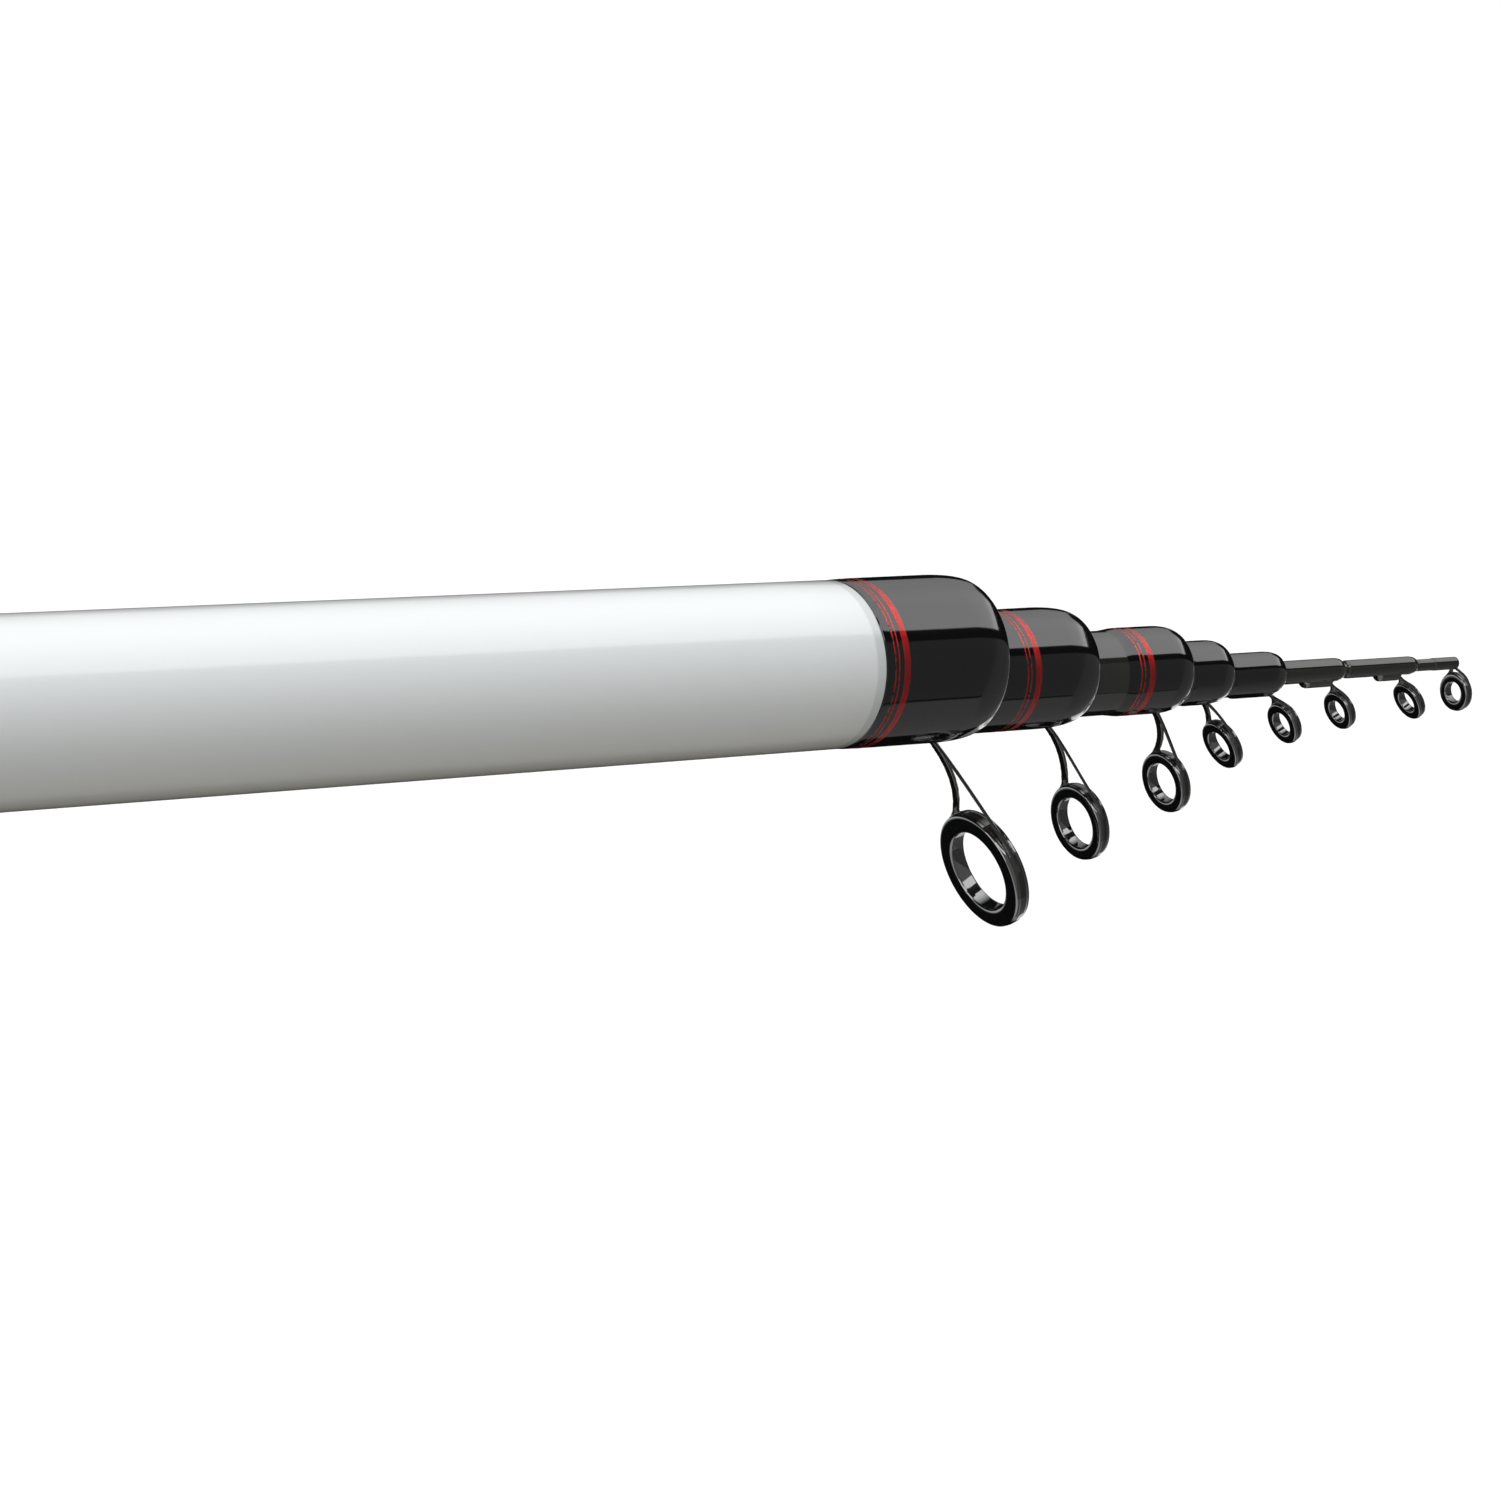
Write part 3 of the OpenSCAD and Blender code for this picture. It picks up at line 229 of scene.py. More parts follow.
def guideCoat():
    # stamped stainless frame, electro-coated gloss black: thin film, soft edges, faint ripple
    look = {"black": "#141311", "worn": "#201f1b", "rippleMm": 0.9}
    material, tree, shader = startMaterial("guideCoat", {
        "Roughness": 0.16, "Coat Weight": 1.0, "Coat Roughness": 0.03, "Coat IOR": 1.55})
    place = addNode(tree, "ShaderNodeTexCoord")
    ripple = noise(tree, look["rippleMm"], 1.0, place.outputs["Object"])
    tree.links.new(tinted(tree, look["black"], look["worn"], ripple.outputs["Fac"]),
                   shader.inputs["Base Color"])
    tree.links.new(bumped(tree, 0.08, 0.03, ripple.outputs["Fac"]), shader.inputs["Coat Normal"])
    return material


def polishedCeramic():
    # silicon carbide polished on a lap: near-black, high index, crisp highlights
    look = {"dark": "#0c0d0e", "grain": "#131416", "grainMm": 0.15}
    material, tree, shader = startMaterial("polishedCeramic", {"Roughness": 0.04, "IOR": 2.6})
    place = addNode(tree, "ShaderNodeTexCoord")
    grain = noise(tree, look["grainMm"], 2.0, place.outputs["Object"])
    tree.links.new(tinted(tree, look["dark"], look["grain"], grain.outputs["Fac"]),
                   shader.inputs["Base Color"])
    return material


def satinPaint():
    # powder-coated reel seat: satin black with a fine even texture
    look = {"black": "#18191a", "lift": "#222324", "grainMm": 0.35}
    material, tree, shader = startMaterial("satinPaint", {})
    place = addNode(tree, "ShaderNodeTexCoord")
    grain = noise(tree, look["grainMm"], 2.0, place.outputs["Object"])
    rough = addNode(tree, "ShaderNodeMapRange", {"To Min": 0.28, "To Max": 0.42},
                    {"Value": grain.outputs["Fac"]})
    tree.links.new(tinted(tree, look["black"], look["lift"], grain.outputs["Fac"]),
                   shader.inputs["Base Color"])
    tree.links.new(rough.outputs["Result"], shader.inputs["Roughness"])
    tree.links.new(bumped(tree, 0.2, 0.02, grain.outputs["Fac"]), shader.inputs["Normal"])
    return material


def mouldedNylon():
    # moulded black nylon cap: low sheen with a spark-eroded grain
    look = {"black": "#19191a", "lift": "#262627", "grainMm": 0.22}
    material, tree, shader = startMaterial("mouldedNylon", {"Roughness": 0.52})
    place = addNode(tree, "ShaderNodeTexCoord")
    grain = addNode(tree, "ShaderNodeTexVoronoi", {"Scale": 1 / (look["grainMm"] * mm)},
                    {"Vector": place.outputs["Object"]})
    tree.links.new(tinted(tree, look["black"], look["lift"], grain.outputs["Distance"]),
                   shader.inputs["Base Color"])
    tree.links.new(bumped(tree, 0.3, 0.03, grain.outputs["Distance"]), shader.inputs["Normal"])
    return material


def brushedMetal(name, look):
    # bare metal worked with a belt or a lathe tool: fine parallel scratches
    material, tree, shader = startMaterial(name, {"Metallic": 1.0})
    place = addNode(tree, "ShaderNodeTexCoord")
    stretch = addNode(tree, "ShaderNodeMapping", {"Scale": look["stretch"]},
                      {"Vector": place.outputs["Object"]})
    scratch = noise(tree, look["scratchMm"], 3.0, stretch.outputs["Vector"])
    rough = addNode(tree, "ShaderNodeMapRange", {
        "To Min": look["rough"][0], "To Max": look["rough"][1]}, {"Value": scratch.outputs["Fac"]})
    tree.links.new(tinted(tree, look["dark"], look["light"], scratch.outputs["Fac"]),
                   shader.inputs["Base Color"])
    tree.links.new(rough.outputs["Result"], shader.inputs["Roughness"])
    tree.links.new(bumped(tree, 0.25, 0.01, scratch.outputs["Fac"]), shader.inputs["Normal"])
    return material


def mouldedRubber():
    # moulded nitrile rubber: matt charcoal with dusty high spots
    look = {"dark": "#161616", "dust": "#2b2b2a", "grainMm": 0.3}
    material, tree, shader = startMaterial("mouldedRubber", {
        "Roughness": 0.78, "Specular IOR Level": 0.35})
    place = addNode(tree, "ShaderNodeTexCoord")
    grain = noise(tree, look["grainMm"], 4.0, place.outputs["Object"])
    level = addNode(tree, "ShaderNodeMapRange", {"From Min": 0.42, "From Max": 0.72},
                    {"Value": grain.outputs["Fac"]})
    tree.links.new(tinted(tree, look["dark"], look["dust"], level.outputs["Result"]),
                   shader.inputs["Base Color"])
    tree.links.new(bumped(tree, 0.4, 0.04, grain.outputs["Fac"]), shader.inputs["Normal"])
    return material


white = whiteLacquer()
# the near-white colour in each look below is a painted reflection for the collar undersides
lacquer = blackLacquer("blackLacquer", {
    "black": "#0d0d0e", "turn": "#131314", "run": "#eceded", "threadMm": 0.2, "flowMm": 3.5})
thinLacquer = blackLacquer("thinBlackLacquer", {
    "black": "#1c1b18", "turn": "#282722", "run": "#eceded", "threadMm": 0.15, "flowMm": 2.5})
carbon = woundCarbon()
resin = clearResin()
guideBlack = guideCoat()
ceramic = polishedCeramic()
seatPaint = satinPaint()
nylon = mouldedNylon()
rubber = mouldedRubber()
steel = brushedMetal("brushedSteel", {
    "stretch": (0.06, 1, 1), "scratchMm": 0.18, "dark": "#8f9296", "light": "#b9bcc0",
    "rough": (0.22, 0.4)})
aluminium = brushedMetal("turnedAluminium", {
    "stretch": (1, 0.08, 0.08), "scratchMm": 0.2, "dark": "#a3a5a8", "light": "#c9cbcd",
    "rough": (0.24, 0.38)})
bandThread = redThread("wovenRedThread", {
    "deep": "#560b0e", "bright": "#fb3934", "slant": 38, "fibreMm": 0.3, "glintMm": 0.14,
    "stretch": 0.5, "speckle": 0.66, "gapMm": 0})
lineThread = redThread("fineRedThread", {
    "deep": "#8a1a1c", "bright": "#ff3d38", "slant": 20, "fibreMm": 0.3, "glintMm": 0.3,
    "stretch": 0.6, "speckle": 0.5, "gapMm": 0.5, "gap": "#120607"})
print("materials made")


def finishPiece(bm, name, body, material, sharp, replaced=()):
    mesh = bpy.data.meshes.new(name)
    bm.to_mesh(mesh)
    bm.free()
    mesh.polygons.foreach_set("use_smooth", [True] * len(mesh.polygons))
    mesh.set_sharp_from_angle(angle=math.radians(sharp))
    mesh.materials.append(material)
    piece = bpy.data.objects.new(name, mesh)
    bpy.context.scene.collection.objects.link(piece)
    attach(piece, body)
    if replaced:
        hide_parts(*replaced)
    return piece


def spun(profile, steps=192, closed=True):
    # profile points are (x, radius) in mm, spun about the X axis
    bm = bmesh.new()
    points = [bm.verts.new((x * mm, 0, -r * mm)) for x, r in profile]
    pairs = list(zip(points, points[1:] + points[:1])) if closed else list(zip(points, points[1:]))
    edges = [bm.edges.new(pair) for pair in pairs]
    bmesh.ops.spin(bm, geom=points + edges, cent=(0, 0, 0), axis=(1, 0, 0), angle=2 * math.pi,
                   steps=steps, use_merge=True, use_duplicate=False)
    bmesh.ops.remove_doubles(bm, verts=bm.verts, dist=1e-7)
    bmesh.ops.recalc_face_normals(bm, faces=bm.faces)
    return bm


def wrapUv(bm):
    # U runs round the X axis and V along it, both in metres; the seam is on top
    layer = bm.loops.layers.uv.new("aroundRod")
    for face in bm.faces:
        middle = face.calc_center_median()
        centre = math.atan2(middle.y, -middle.z)
        for loop in face.loops:
            spot = loop.vert.co
            angle = math.atan2(spot.y, -spot.z)
            if angle - centre > math.pi:
                angle -= 2 * math.pi
            elif centre - angle > math.pi:
                angle += 2 * math.pi
            loop[layer].uv = (angle * math.hypot(spot.y, spot.z), spot.x)


def quarter(x0, r0, x1, r1, steps):
    # quarter ellipse, level at its start and square to the axis at its end
    return [(x0 + (x1 - x0) * math.sin(math.pi / 2 * i / steps),
             r1 + (r0 - r1) * math.cos(math.pi / 2 * i / steps)) for i in range(steps + 1)]


def softMax(a, b, blend):
    h = max(blend - abs(a - b), 0) / blend
    return max(a, b) + h * h * blend / 4


def dressed(node, name, body, material, slot, bevelMm, sharp):
    # a merged copy of a CAD node with its edges eased
    bm = bmesh.new()
    bm.from_mesh(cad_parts[node].data)
    bmesh.ops.remove_doubles(bm, verts=bm.verts, dist=1e-6)
    bmesh.ops.dissolve_limit(bm, angle_limit=math.radians(1), verts=bm.verts, edges=bm.edges)
    piece = finishPiece(bm, name, body, material, sharp, (node,))
    bevel = piece.modifiers.new("easedEdges", "BEVEL")
    bevel.width = bevelMm * mm
    bevel.segments = 3
    bevel.limit_method = "ANGLE"
    bevel.angle_limit = math.radians(35)
    bevel.harden_normals = True


# millimetres; radii at the rear, at the mouth before its shoulder, and of the bore
tubes = {
    1: {"rearX": 0, "rearR": 16, "frontR": 13.35, "mouth": 1000, "mouthBore": 12.45, "seatX": 920,
        "seatBore": 12.6754, "rearBore": 15.25, "shoulder": 7, "offset": (0, 0)},
    2: {"rearX": 14, "rearR": 12.6454, "frontR": 9.8, "mouth": 1023.8, "mouthBore": 8.6,
        "seatX": 948.8, "seatBore": 8.71887, "rearBore": 11.5454, "shoulder": 7,
        "offset": (-1.07469, -2.30468)},
    3: {"rearX": 14, "rearR": 8.68887, "frontR": 7.05, "mouth": 1048, "mouthBore": 6.15,
        "seatX": 978, "seatBore": 6.21961, "rearBore": 7.73887, "shoulder": 4,
        "offset": (-1.69663, -3.63844)},
    4: {"rearX": 14, "rearR": 6.18961, "frontR": 5.15, "mouth": 1059.4, "mouthBore": 4.4,
        "seatX": 994.4, "seatBore": 4.45686, "rearBore": 5.38961, "shoulder": 3,
        "offset": (-2.09756, -4.49823)},
    5: {"rearX": 14, "rearR": 4.42686, "frontR": 3.5, "mouth": 1073.6, "mouthBore": 2.85,
        "seatX": 1013.6, "seatBore": 2.90729, "rearBore": 3.77686, "shoulder": 3,
        "offset": (-2.45576, -5.26639)},
    6: {"rearX": 14, "rearR": 2.87729, "frontR": 1.85, "mouth": 1089.8, "mouthBore": 1.4,
        "seatX": 1034.8, "seatBore": 1.40635, "rearBore": 2.37729, "shoulder": 1.5,
        "offset": (-2.51564, -5.3948)},
    7: {"rearX": 14, "rearR": 1.37635, "frontR": 1.25, "mouth": 1108.8, "mouthBore": 0.9,
        "seatX": 1058.8, "seatBore": 0.917524, "rearBore": 1.02635, "shoulder": 1.5,
        "offset": (-2.55208, -5.47296)},
    8: {"rearX": 14, "rearR": 0.887524, "frontR": 0.5, "mouth": 1119.7,
        "offset": (-2.59724, -5.56981)},
}
# the butt is straight to the start of its taper, which ends at the edge of the white coat
buttTaper = {"start": 150, "end": 973, "rearR": 16, "frontR": 13.5}
bodyNames = {1: "butt", 8: "tip", **{k: "section_%d" % k for k in range(2, 8)}}
lipT = 0.3


def moved(bm, k):
    y, z = tubes[k]["offset"]
    bmesh.ops.translate(bm, verts=bm.verts, vec=(0, y * mm, z * mm))


def tubeRadius(k, x):
    tube = tubes[k]
    if k == 1:
        start, end = buttTaper["start"], buttTaper["end"]
        rearR, frontR = buttTaper["rearR"], buttTaper["frontR"]
        if x >= end:
            return tube["frontR"]
        if x <= start:
            return rearR
        return frontR + (end - x) * (rearR - frontR) / (end - start)
    share = (x - tube["rearX"]) / (tube["mouth"] - tube["rearX"])
    return tube["rearR"] + (tube["frontR"] - tube["rearR"]) * share


def blankProfile(k):
    tube = tubes[k]
    front = tube["mouth"] - tube["shoulder"]
    if k == 1:
        steps = [20, 60, 100, 150, 250, 350, 450, 550, 650, 750, 850, 930, 960]
        outside = [(0, 15.7), (0.15, 15.93), (0.4, 16)]
        outside += [(x, tubeRadius(1, x)) for x in steps]
        outside += [(972.55, 13.501), (972.75, 13.47), (972.9, 13.42), (973, 13.36)]
    else:
        count = 12
        stations = [tube["rearX"] + (front - tube["rearX"]) * i / count for i in range(count)]
        outside = [(x, tubeRadius(k, x)) for x in stations]
    outside += quarter(front, tubeRadius(k, front), tube["mouth"], tube["mouthBore"] + lipT / 2, 10)
    inside = [(tube["mouth"], tube["mouthBore"]), (tube["seatX"], tube["seatBore"]),
              (tube["rearX"], tube["rearBore"])]
    return outside + inside


for k in range(1, 8):
    bm = spun(blankProfile(k))
    wrapUv(bm)
    moved(bm, k)
    node = "butt_blank" if k == 1 else "section_%d_blank" % k
    name = "buttTube" if k == 1 else "section%dTube" % k
    finishPiece(bm, name, bodyNames[k], white if k == 1 else carbon, 40,
                (node,))
tipRod = [(14, 0), (14, 0.8), (14.1, 0.887), (300, 0.782), (700, 0.64), (1119.5, 0.5),
          (1119.7, 0.4), (1119.7, 0)]
bm = spun(tipRod, 48, False)
wrapUv(bm)
moved(bm, 8)
finishPiece(bm, "tipRod", "tip", carbon, 40, ("tip_blank",))
print("blanks made")

# lacquered collars and wraps; footX is where the neck leaves the foot
collars = {
    1: {"back": 27, "r": 13.65, "rise": 8, "footX": 998.2, "footLen": 15, "footT": 0.55,
        "footW": 1.6, "node": "butt_collar"},
    2: {"back": 22.8, "r": 10.05, "rise": 1, "footX": 1023.2, "footLen": 10, "footT": 0.5,
        "footW": 1.2, "node": "section_2_collar"},
    3: {"back": 16.4, "r": 7.4, "rise": 4.6, "feathered": True, "footX": 1047.7, "footLen": 8,
        "footT": 0.5, "footW": 1.1, "node": "section_3_collar"},
    4: {"back": 10.4, "r": 5.45, "rise": 1, "footX": 1058.7, "footLen": 6.5, "footT": 0.45,
        "footW": 1.05, "node": "section_4_collar"},
    5: {"back": 13.2, "r": 3.75, "rise": 1, "footX": 1073.2, "footLen": 9.5, "footT": 0.45,
        "footW": 0.95, "node": "section_5_collar"},
    6: {"back": 15.2, "r": 2.05, "rise": 1, "footX": 1088.2, "footLen": 6.6, "footT": 0.95,
        "footW": 0.75, "node": "section_6_wrap"},
    7: {"back": 17.8, "r": 1.6, "rise": 1, "footX": 1105.5, "footLen": 5.4, "footT": 1.1,
        "footW": 0.7, "node": "section_7_wrap"},
}
# how the lacquer swells over a foot (mm, and half its angle in radians), and how far a
# feathered edge starts below the carbon
swell = {"cover": 0.28, "lift": 0.02, "round": 0.62, "sunk": 0.04, "least": 0.1, "halfAngle": 1.3,
         "runIn": 1.3, "past": 0.6, "fade": 1.2, "blend": 0.35, "softLarge": 0.9, "softSmall": 0.5}
feather = {"start": 0.05, "edge": 0.03}
profileGap = 0.35


def evened(points, gap):
    # extra points along a profile, at most gap mm apart
    out = [points[0]]
    for a, b in zip(points, points[1:]):
        count = max(1, math.ceil(math.dist(a, b) / gap))
        out += [(a[0] + (b[0] - a[0]) * i / count, a[1] + (b[1] - a[1]) * i / count)
                for i in range(1, count + 1)]
    return out


def collarRadius(k, x):
    # rounded up from its rear edge, or feathered out on the carbon
    tube, collar = tubes[k], collars[k]
    rear = tube["mouth"] - collar["back"]
    u = min(1, max(0, (x - rear) / collar["rise"]))
    if collar.get("feathered"):
        r0 = tubeRadius(k, rear) - feather["edge"]
        return r0 + (collar["r"] - r0) * u * u * (3 - 2 * u)
    r0 = tubeRadius(k, rear) + lipT / 3
    return r0 + (collar["r"] - r0) * math.sqrt(1 - (1 - u) ** 2)


def collarProfile(k):
    tube, collar = tubes[k], collars[k]
    rear, front = tube["mouth"] - collar["back"], tube["mouth"] - tube["shoulder"]
    start = feather["start"] if collar.get("feathered") else 0
    outside = [(rear, tubeRadius(k, rear) - start)]
    for i in range(17):
        u = 1 - math.cos(math.pi / 2 * i / 16)
        x = rear + collar["rise"] * u
        outside.append((x, collarRadius(k, x)))
    outside += quarter(front, collar["r"], tube["mouth"], tube["mouthBore"] + lipT, 20)
    inside = quarter(front, tubeRadius(k, front), tube["mouth"], tube["mouthBore"] + lipT / 2, 10)
    return evened(outside, profileGap) + list(reversed(inside))


def raiseFoot(bm, k):
    # lifts the lacquer over the guide's foot and draws a fillet up its neck
    collar = collars[k]
    back, front = collar["footX"] - collar["footLen"], collar["footX"]
    footTop = tubeRadius(k, back) + swell["lift"]
    low = footTop + collar["footT"] + swell["cover"]
    full = collar["footW"] ** 2 / swell["cover"] * swell["round"] + swell["cover"]
    centre = low - full
    hidden = max(swell["least"], collar["r"] - centre - swell["sunk"])
    soft = swell["softLarge"] if k < 6 else swell["softSmall"]
    for vert in bm.verts:
        x = vert.co.x / mm
        around = math.hypot(vert.co.y, vert.co.z) / mm
        angle = math.atan2(vert.co.y, -vert.co.z)
        inBore = around < tubeRadius(k, x) + 0.001 and x < front - 2
        if abs(angle) > swell["halfAngle"] or inBore:
            continue
        u = min(1, max(0, (x - back + swell["runIn"] * soft) / (2 * soft)))
        v = min(1, max(0, (front + swell["past"] - x) / swell["fade"]))
        share = u * u * (3 - 2 * u) * v * v * (3 - 2 * v)
        radius = hidden + (full - hidden) * share
        inside = radius ** 2 - (centre * math.sin(angle)) ** 2
        if inside <= 0 or share == 0:
            continue
        reach = centre * math.cos(angle) + math.sqrt(inside)
        near = reach > around - swell["blend"]
        grown = softMax(around, reach, swell["blend"]) if near else around
        vert.co.y *= grown / around
        vert.co.z *= grown / around


# a painted reflection: a near-white band is painted on the underside of the first mouths, where the
# lacquer would mirror light. How far back from the mouth it reaches (mm) by the angle from straight
# down, and its share on each section
runReach = [(-72, 0.3), (-62, 2.1), (-50, 3.7), (-44, 4.1), (-38, 3.0), (-24, 0.3)]
paintedReflectionShares = {1: 1.0, 2: 0.75, 3: 0.5}
runEdge = {"soft": 0.3, "boreShare": 0.9, "lip": 0.3}


# sets the painted reflection mask on the collar underside near the mouth, fading over a soft edge
def markPaintedReflection(bm, k):
    layer = bm.verts.layers.float.new("paintedReflectionMask")
    for vert in bm.verts:
        back = tubes[k]["mouth"] - vert.co.x / mm
        around = math.hypot(vert.co.y, vert.co.z) / mm
        angle = math.degrees(math.atan2(vert.co.y, -vert.co.z))
        inBore = around < tubeRadius(k, vert.co.x / mm) * runEdge["boreShare"]
        if inBore and back > runEdge["lip"]:
            continue
        for (a0, reach0), (a1, reach1) in zip(runReach, runReach[1:]):
            if a0 <= angle <= a1:
                reach = reach0 + (reach1 - reach0) * (angle - a0) / (a1 - a0)
                vert[layer] = min(1, max(0, (reach * paintedReflectionShares[k] - back) / runEdge["soft"]))


for k, collar in collars.items():
    bm = spun(collarProfile(k), 240 if k < 4 else 160)
    raiseFoot(bm, k)
    # painted reflection on the undersides of the first three collars
    if k in paintedReflectionShares:
        markPaintedReflection(bm, k)
    bmesh.ops.recalc_face_normals(bm, faces=bm.faces)
    wrapUv(bm)
    moved(bm, k)
    finishPiece(bm, collar["node"].replace("_", "") + "Lacquer", bodyNames[k],
                lacquer if k < 6 else thinLacquer, 50, (collar["node"],))
print("collars made")

# clear lips run round each mouth
lips = {"radius": 0.17, "back": 0.16, "out": 0.2}
for k in range(1, 8):
    tube = tubes[k]
    cx, cr = tube["mouth"] - lips["back"], tube["mouthBore"] + lips["out"]
    ringPoints = [(cx + lips["radius"] * math.cos(math.pi / 6 * i),
                   cr + lips["radius"] * math.sin(math.pi / 6 * i)) for i in range(12)]
    bm = spun(ringPoints, 160)
    moved(bm, k)
    finishPiece(bm, "mouthLip%d" % k, bodyNames[k], resin, 60)
print("lips made")

# red thread in the collars of the first three sections
trims = {
    1: {"at": 977.2, "node": "butt_trim"},
    2: {"at": 1009, "node": "section_2_trim"},
    3: {"at": 1037.4, "node": "section_3_trim"},
}
# each row's name, its place from the band's middle and its width
rows = [("Band", 0, 1.3), ("LineA", -1.66, 0.26), ("LineB", -2.42, 0.26)]
# across a row: share of its half width, and height over the lacquer
threadShape = [(-1, -0.1), (-1, 0.008), (-0.5, 0.016), (0, 0.018), (0.5, 0.016), (1, 0.008),
               (1, -0.1)]

for k, trim in trims.items():
    for index, (label, shift, width) in enumerate(rows):
        x = trim["at"] + shift
        half = width / 2
        path = [(x + half * share, rise) for share, rise in threadShape]
        bm = spun([(px, collarRadius(k, px) + rise) for px, rise in path], 240)
        wrapUv(bm)
        moved(bm, k)
        finishPiece(bm, "redThread%d%s" % (k, label), bodyNames[k],
                    bandThread if index == 0 else lineThread, 50,
                    (trim["node"],) if index == 0 else ())
print("red thread laid")

# line guides: ceramic rings in painted frames
guides = {
    1: {"bore": 14.2, "d": 20.8, "depth": 3.2, "at": (1019.9, 0, -39.8), "lean": 22.9,
        "voxel": 0.11},
    2: {"bore": 8.8, "d": 13.4, "depth": 2.5, "at": (1038.3, -1.07469, -31.8047), "lean": 14.7,
        "voxel": 0.09},
    3: {"bore": 6.9, "d": 10.9, "depth": 2.3, "at": (1055.8, -1.69663, -25.1384), "lean": 15.4,
        "voxel": 0.08},
    4: {"bore": 5.3, "d": 9, "depth": 2, "at": (1066.6, -2.09756, -18.4982), "lean": 27.9,
        "voxel": 0.07},
    5: {"bore": 4.2, "d": 7.6, "depth": 1.8, "at": (1080.2, -2.45576, -15.0664), "lean": 23,
        "voxel": 0.07},
    6: {"bore": 3.8, "d": 7.1, "depth": 1.7, "at": (1093.3, -2.51564, -13.2948), "lean": 21.5,
        "voxel": 0.07},
    7: {"bore": 3.8, "d": 7.1, "depth": 1.7, "at": (1110.7, -2.55208, -12.373), "lean": 27.9,
        "voxel": 0.07},
    8: {"bore": 3.6, "d": 7, "depth": 1.7, "at": (1122.4, -2.59724, -11.2698), "lean": 7.2,
        "voxel": 0.07},
}


# a ceramic's rim inside its frame, and its face from the bore over a crest out to the frame
ringShape = {"rim": 0.12, "crest": 0.3, "land": 0.68, "outside": 0.5}


def ringProfile(guide):
    bore, half = guide["bore"] / 2, guide["depth"] / 2
    outer = guide["d"] / 2 - ringShape["rim"]
    crest = bore + ringShape["crest"] * (outer - bore)
    land, out = ringShape["land"], ringShape["outside"]
    bends = [math.pi / 2 * i / 10 for i in range(11)]
    inner = [(half * (land + (1 - land) * math.sin(a)), crest - (crest - bore) * math.cos(a))
             for a in bends]
    bends = [math.pi / 2 * i / 16 for i in range(1, 17)]
    face = [(half * (out + (1 - out) * math.sqrt(math.cos(a))),
             crest + (outer - crest) * math.sqrt(math.sin(a))) for a in bends]
    side = inner + face
    return side + [(-x, r) for x, r in reversed(side)]


def coatedFrame(node, name, body, voxelMm):
    # the CAD frame dipped in paint: its edges and corners run soft
    bm = bmesh.new()
    bm.from_mesh(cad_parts[node].data)
    bmesh.ops.remove_doubles(bm, verts=bm.verts, dist=1e-6)
    piece = finishPiece(bm, name, body, guideBlack, 60, (node,))
    remesh = piece.modifiers.new("skin", "REMESH")
    remesh.mode = "VOXEL"
    remesh.voxel_size = voxelMm * mm
    remesh.use_smooth_shade = True
    soft = piece.modifiers.new("soft", "SMOOTH")
    soft.factor = 0.5
    soft.iterations = 4
    bpy.context.view_layer.update()
    shaped = bpy.data.meshes.new_from_object(
        piece.evaluated_get(bpy.context.evaluated_depsgraph_get()))
    piece.modifiers.clear()
    old = piece.data
    piece.data = shaped
    bpy.data.meshes.remove(old)
    shaped.name = name
    shaped.polygons.foreach_set("use_smooth", [True] * len(shaped.polygons))


for k, guide in guides.items():
    node = "guide_%d" % k if k < 8 else "tip_guide"
    label = "guide%d" % k if k < 8 else "tipGuide"
    coatedFrame(node + "_frame", label + "Frame", bodyNames[k], guide["voxel"])
    bm = spun(ringProfile(guide), 160)
    turn = Matrix.Rotation(-math.radians(guide["lean"]), 4, "Y")
    spot = Matrix.Translation([c * mm for c in guide["at"]])
    bmesh.ops.transform(bm, matrix=spot @ turn, verts=bm.verts)
    finishPiece(bm, label + "Ceramic", bodyNames[k], ceramic, 50, (node + "_ring",))
print("guides made")

# wrap behind the tip guide's tube
tipWrap = {"rear": 1109.3, "front": 1113.7, "r": 1.05, "edgeR": 0.95, "edgeLen": 0.5,
           "rearBore": 0.505, "frontBore": 0.503}
wrapPath = [(tipWrap["rear"], tipWrap["rearBore"])]
wrapPath += [(tipWrap["rear"] + tipWrap["edgeLen"] * (1 - math.cos(math.pi / 2 * i / 6)),
              tipWrap["edgeR"] + (tipWrap["r"] - tipWrap["edgeR"])
              * math.sin(math.pi / 2 * i / 6)) for i in range(7)]
wrapPath += [(tipWrap["front"], tipWrap["r"]), (tipWrap["front"], tipWrap["frontBore"])]
bm = spun(wrapPath, 96)
wrapUv(bm)
moved(bm, 8)
finishPiece(bm, "tipWrapLacquer", "tip", thinLacquer, 50, ("tip_wrap",))

# reel seat and butt cap: node, piece, body, material, slot, width of the eased edge (mm) and
# the angle from which an edge stays sharp
seatAndCap = [
    ("reel_plate", "reelPlate", "butt", seatPaint, "seat_black", 0.25, 30),
    ("fixed_hood", "fixedHood", "butt", seatPaint, "seat_black", 0.35, 30),
    ("sliding_hood", "slidingHood", "sliding_hood", seatPaint, "seat_black", 0.25, 30),
    ("lever_pin", "leverPin", "sliding_hood", steel, "steel", 0.2, 30),
    ("lock_lever", "lockLever", "lock_lever", steel, "steel", 0.3, 30),
    ("reel_plate_wraps", "plateWraps", "butt", lacquer, "black_lacquer", 0.2, 40),
    ("butt_cap", "buttCap", "butt_cap", nylon, "cap_black", 0.3, 30),
    ("cap_pad", "capPad", "butt_cap", rubber, "rubber", 0.2, 30),
    ("cap_buffer", "capBuffer", "cap_buffer", rubber, "rubber", 0.2, 30),
]
for entry in seatAndCap:
    dressed(*entry)
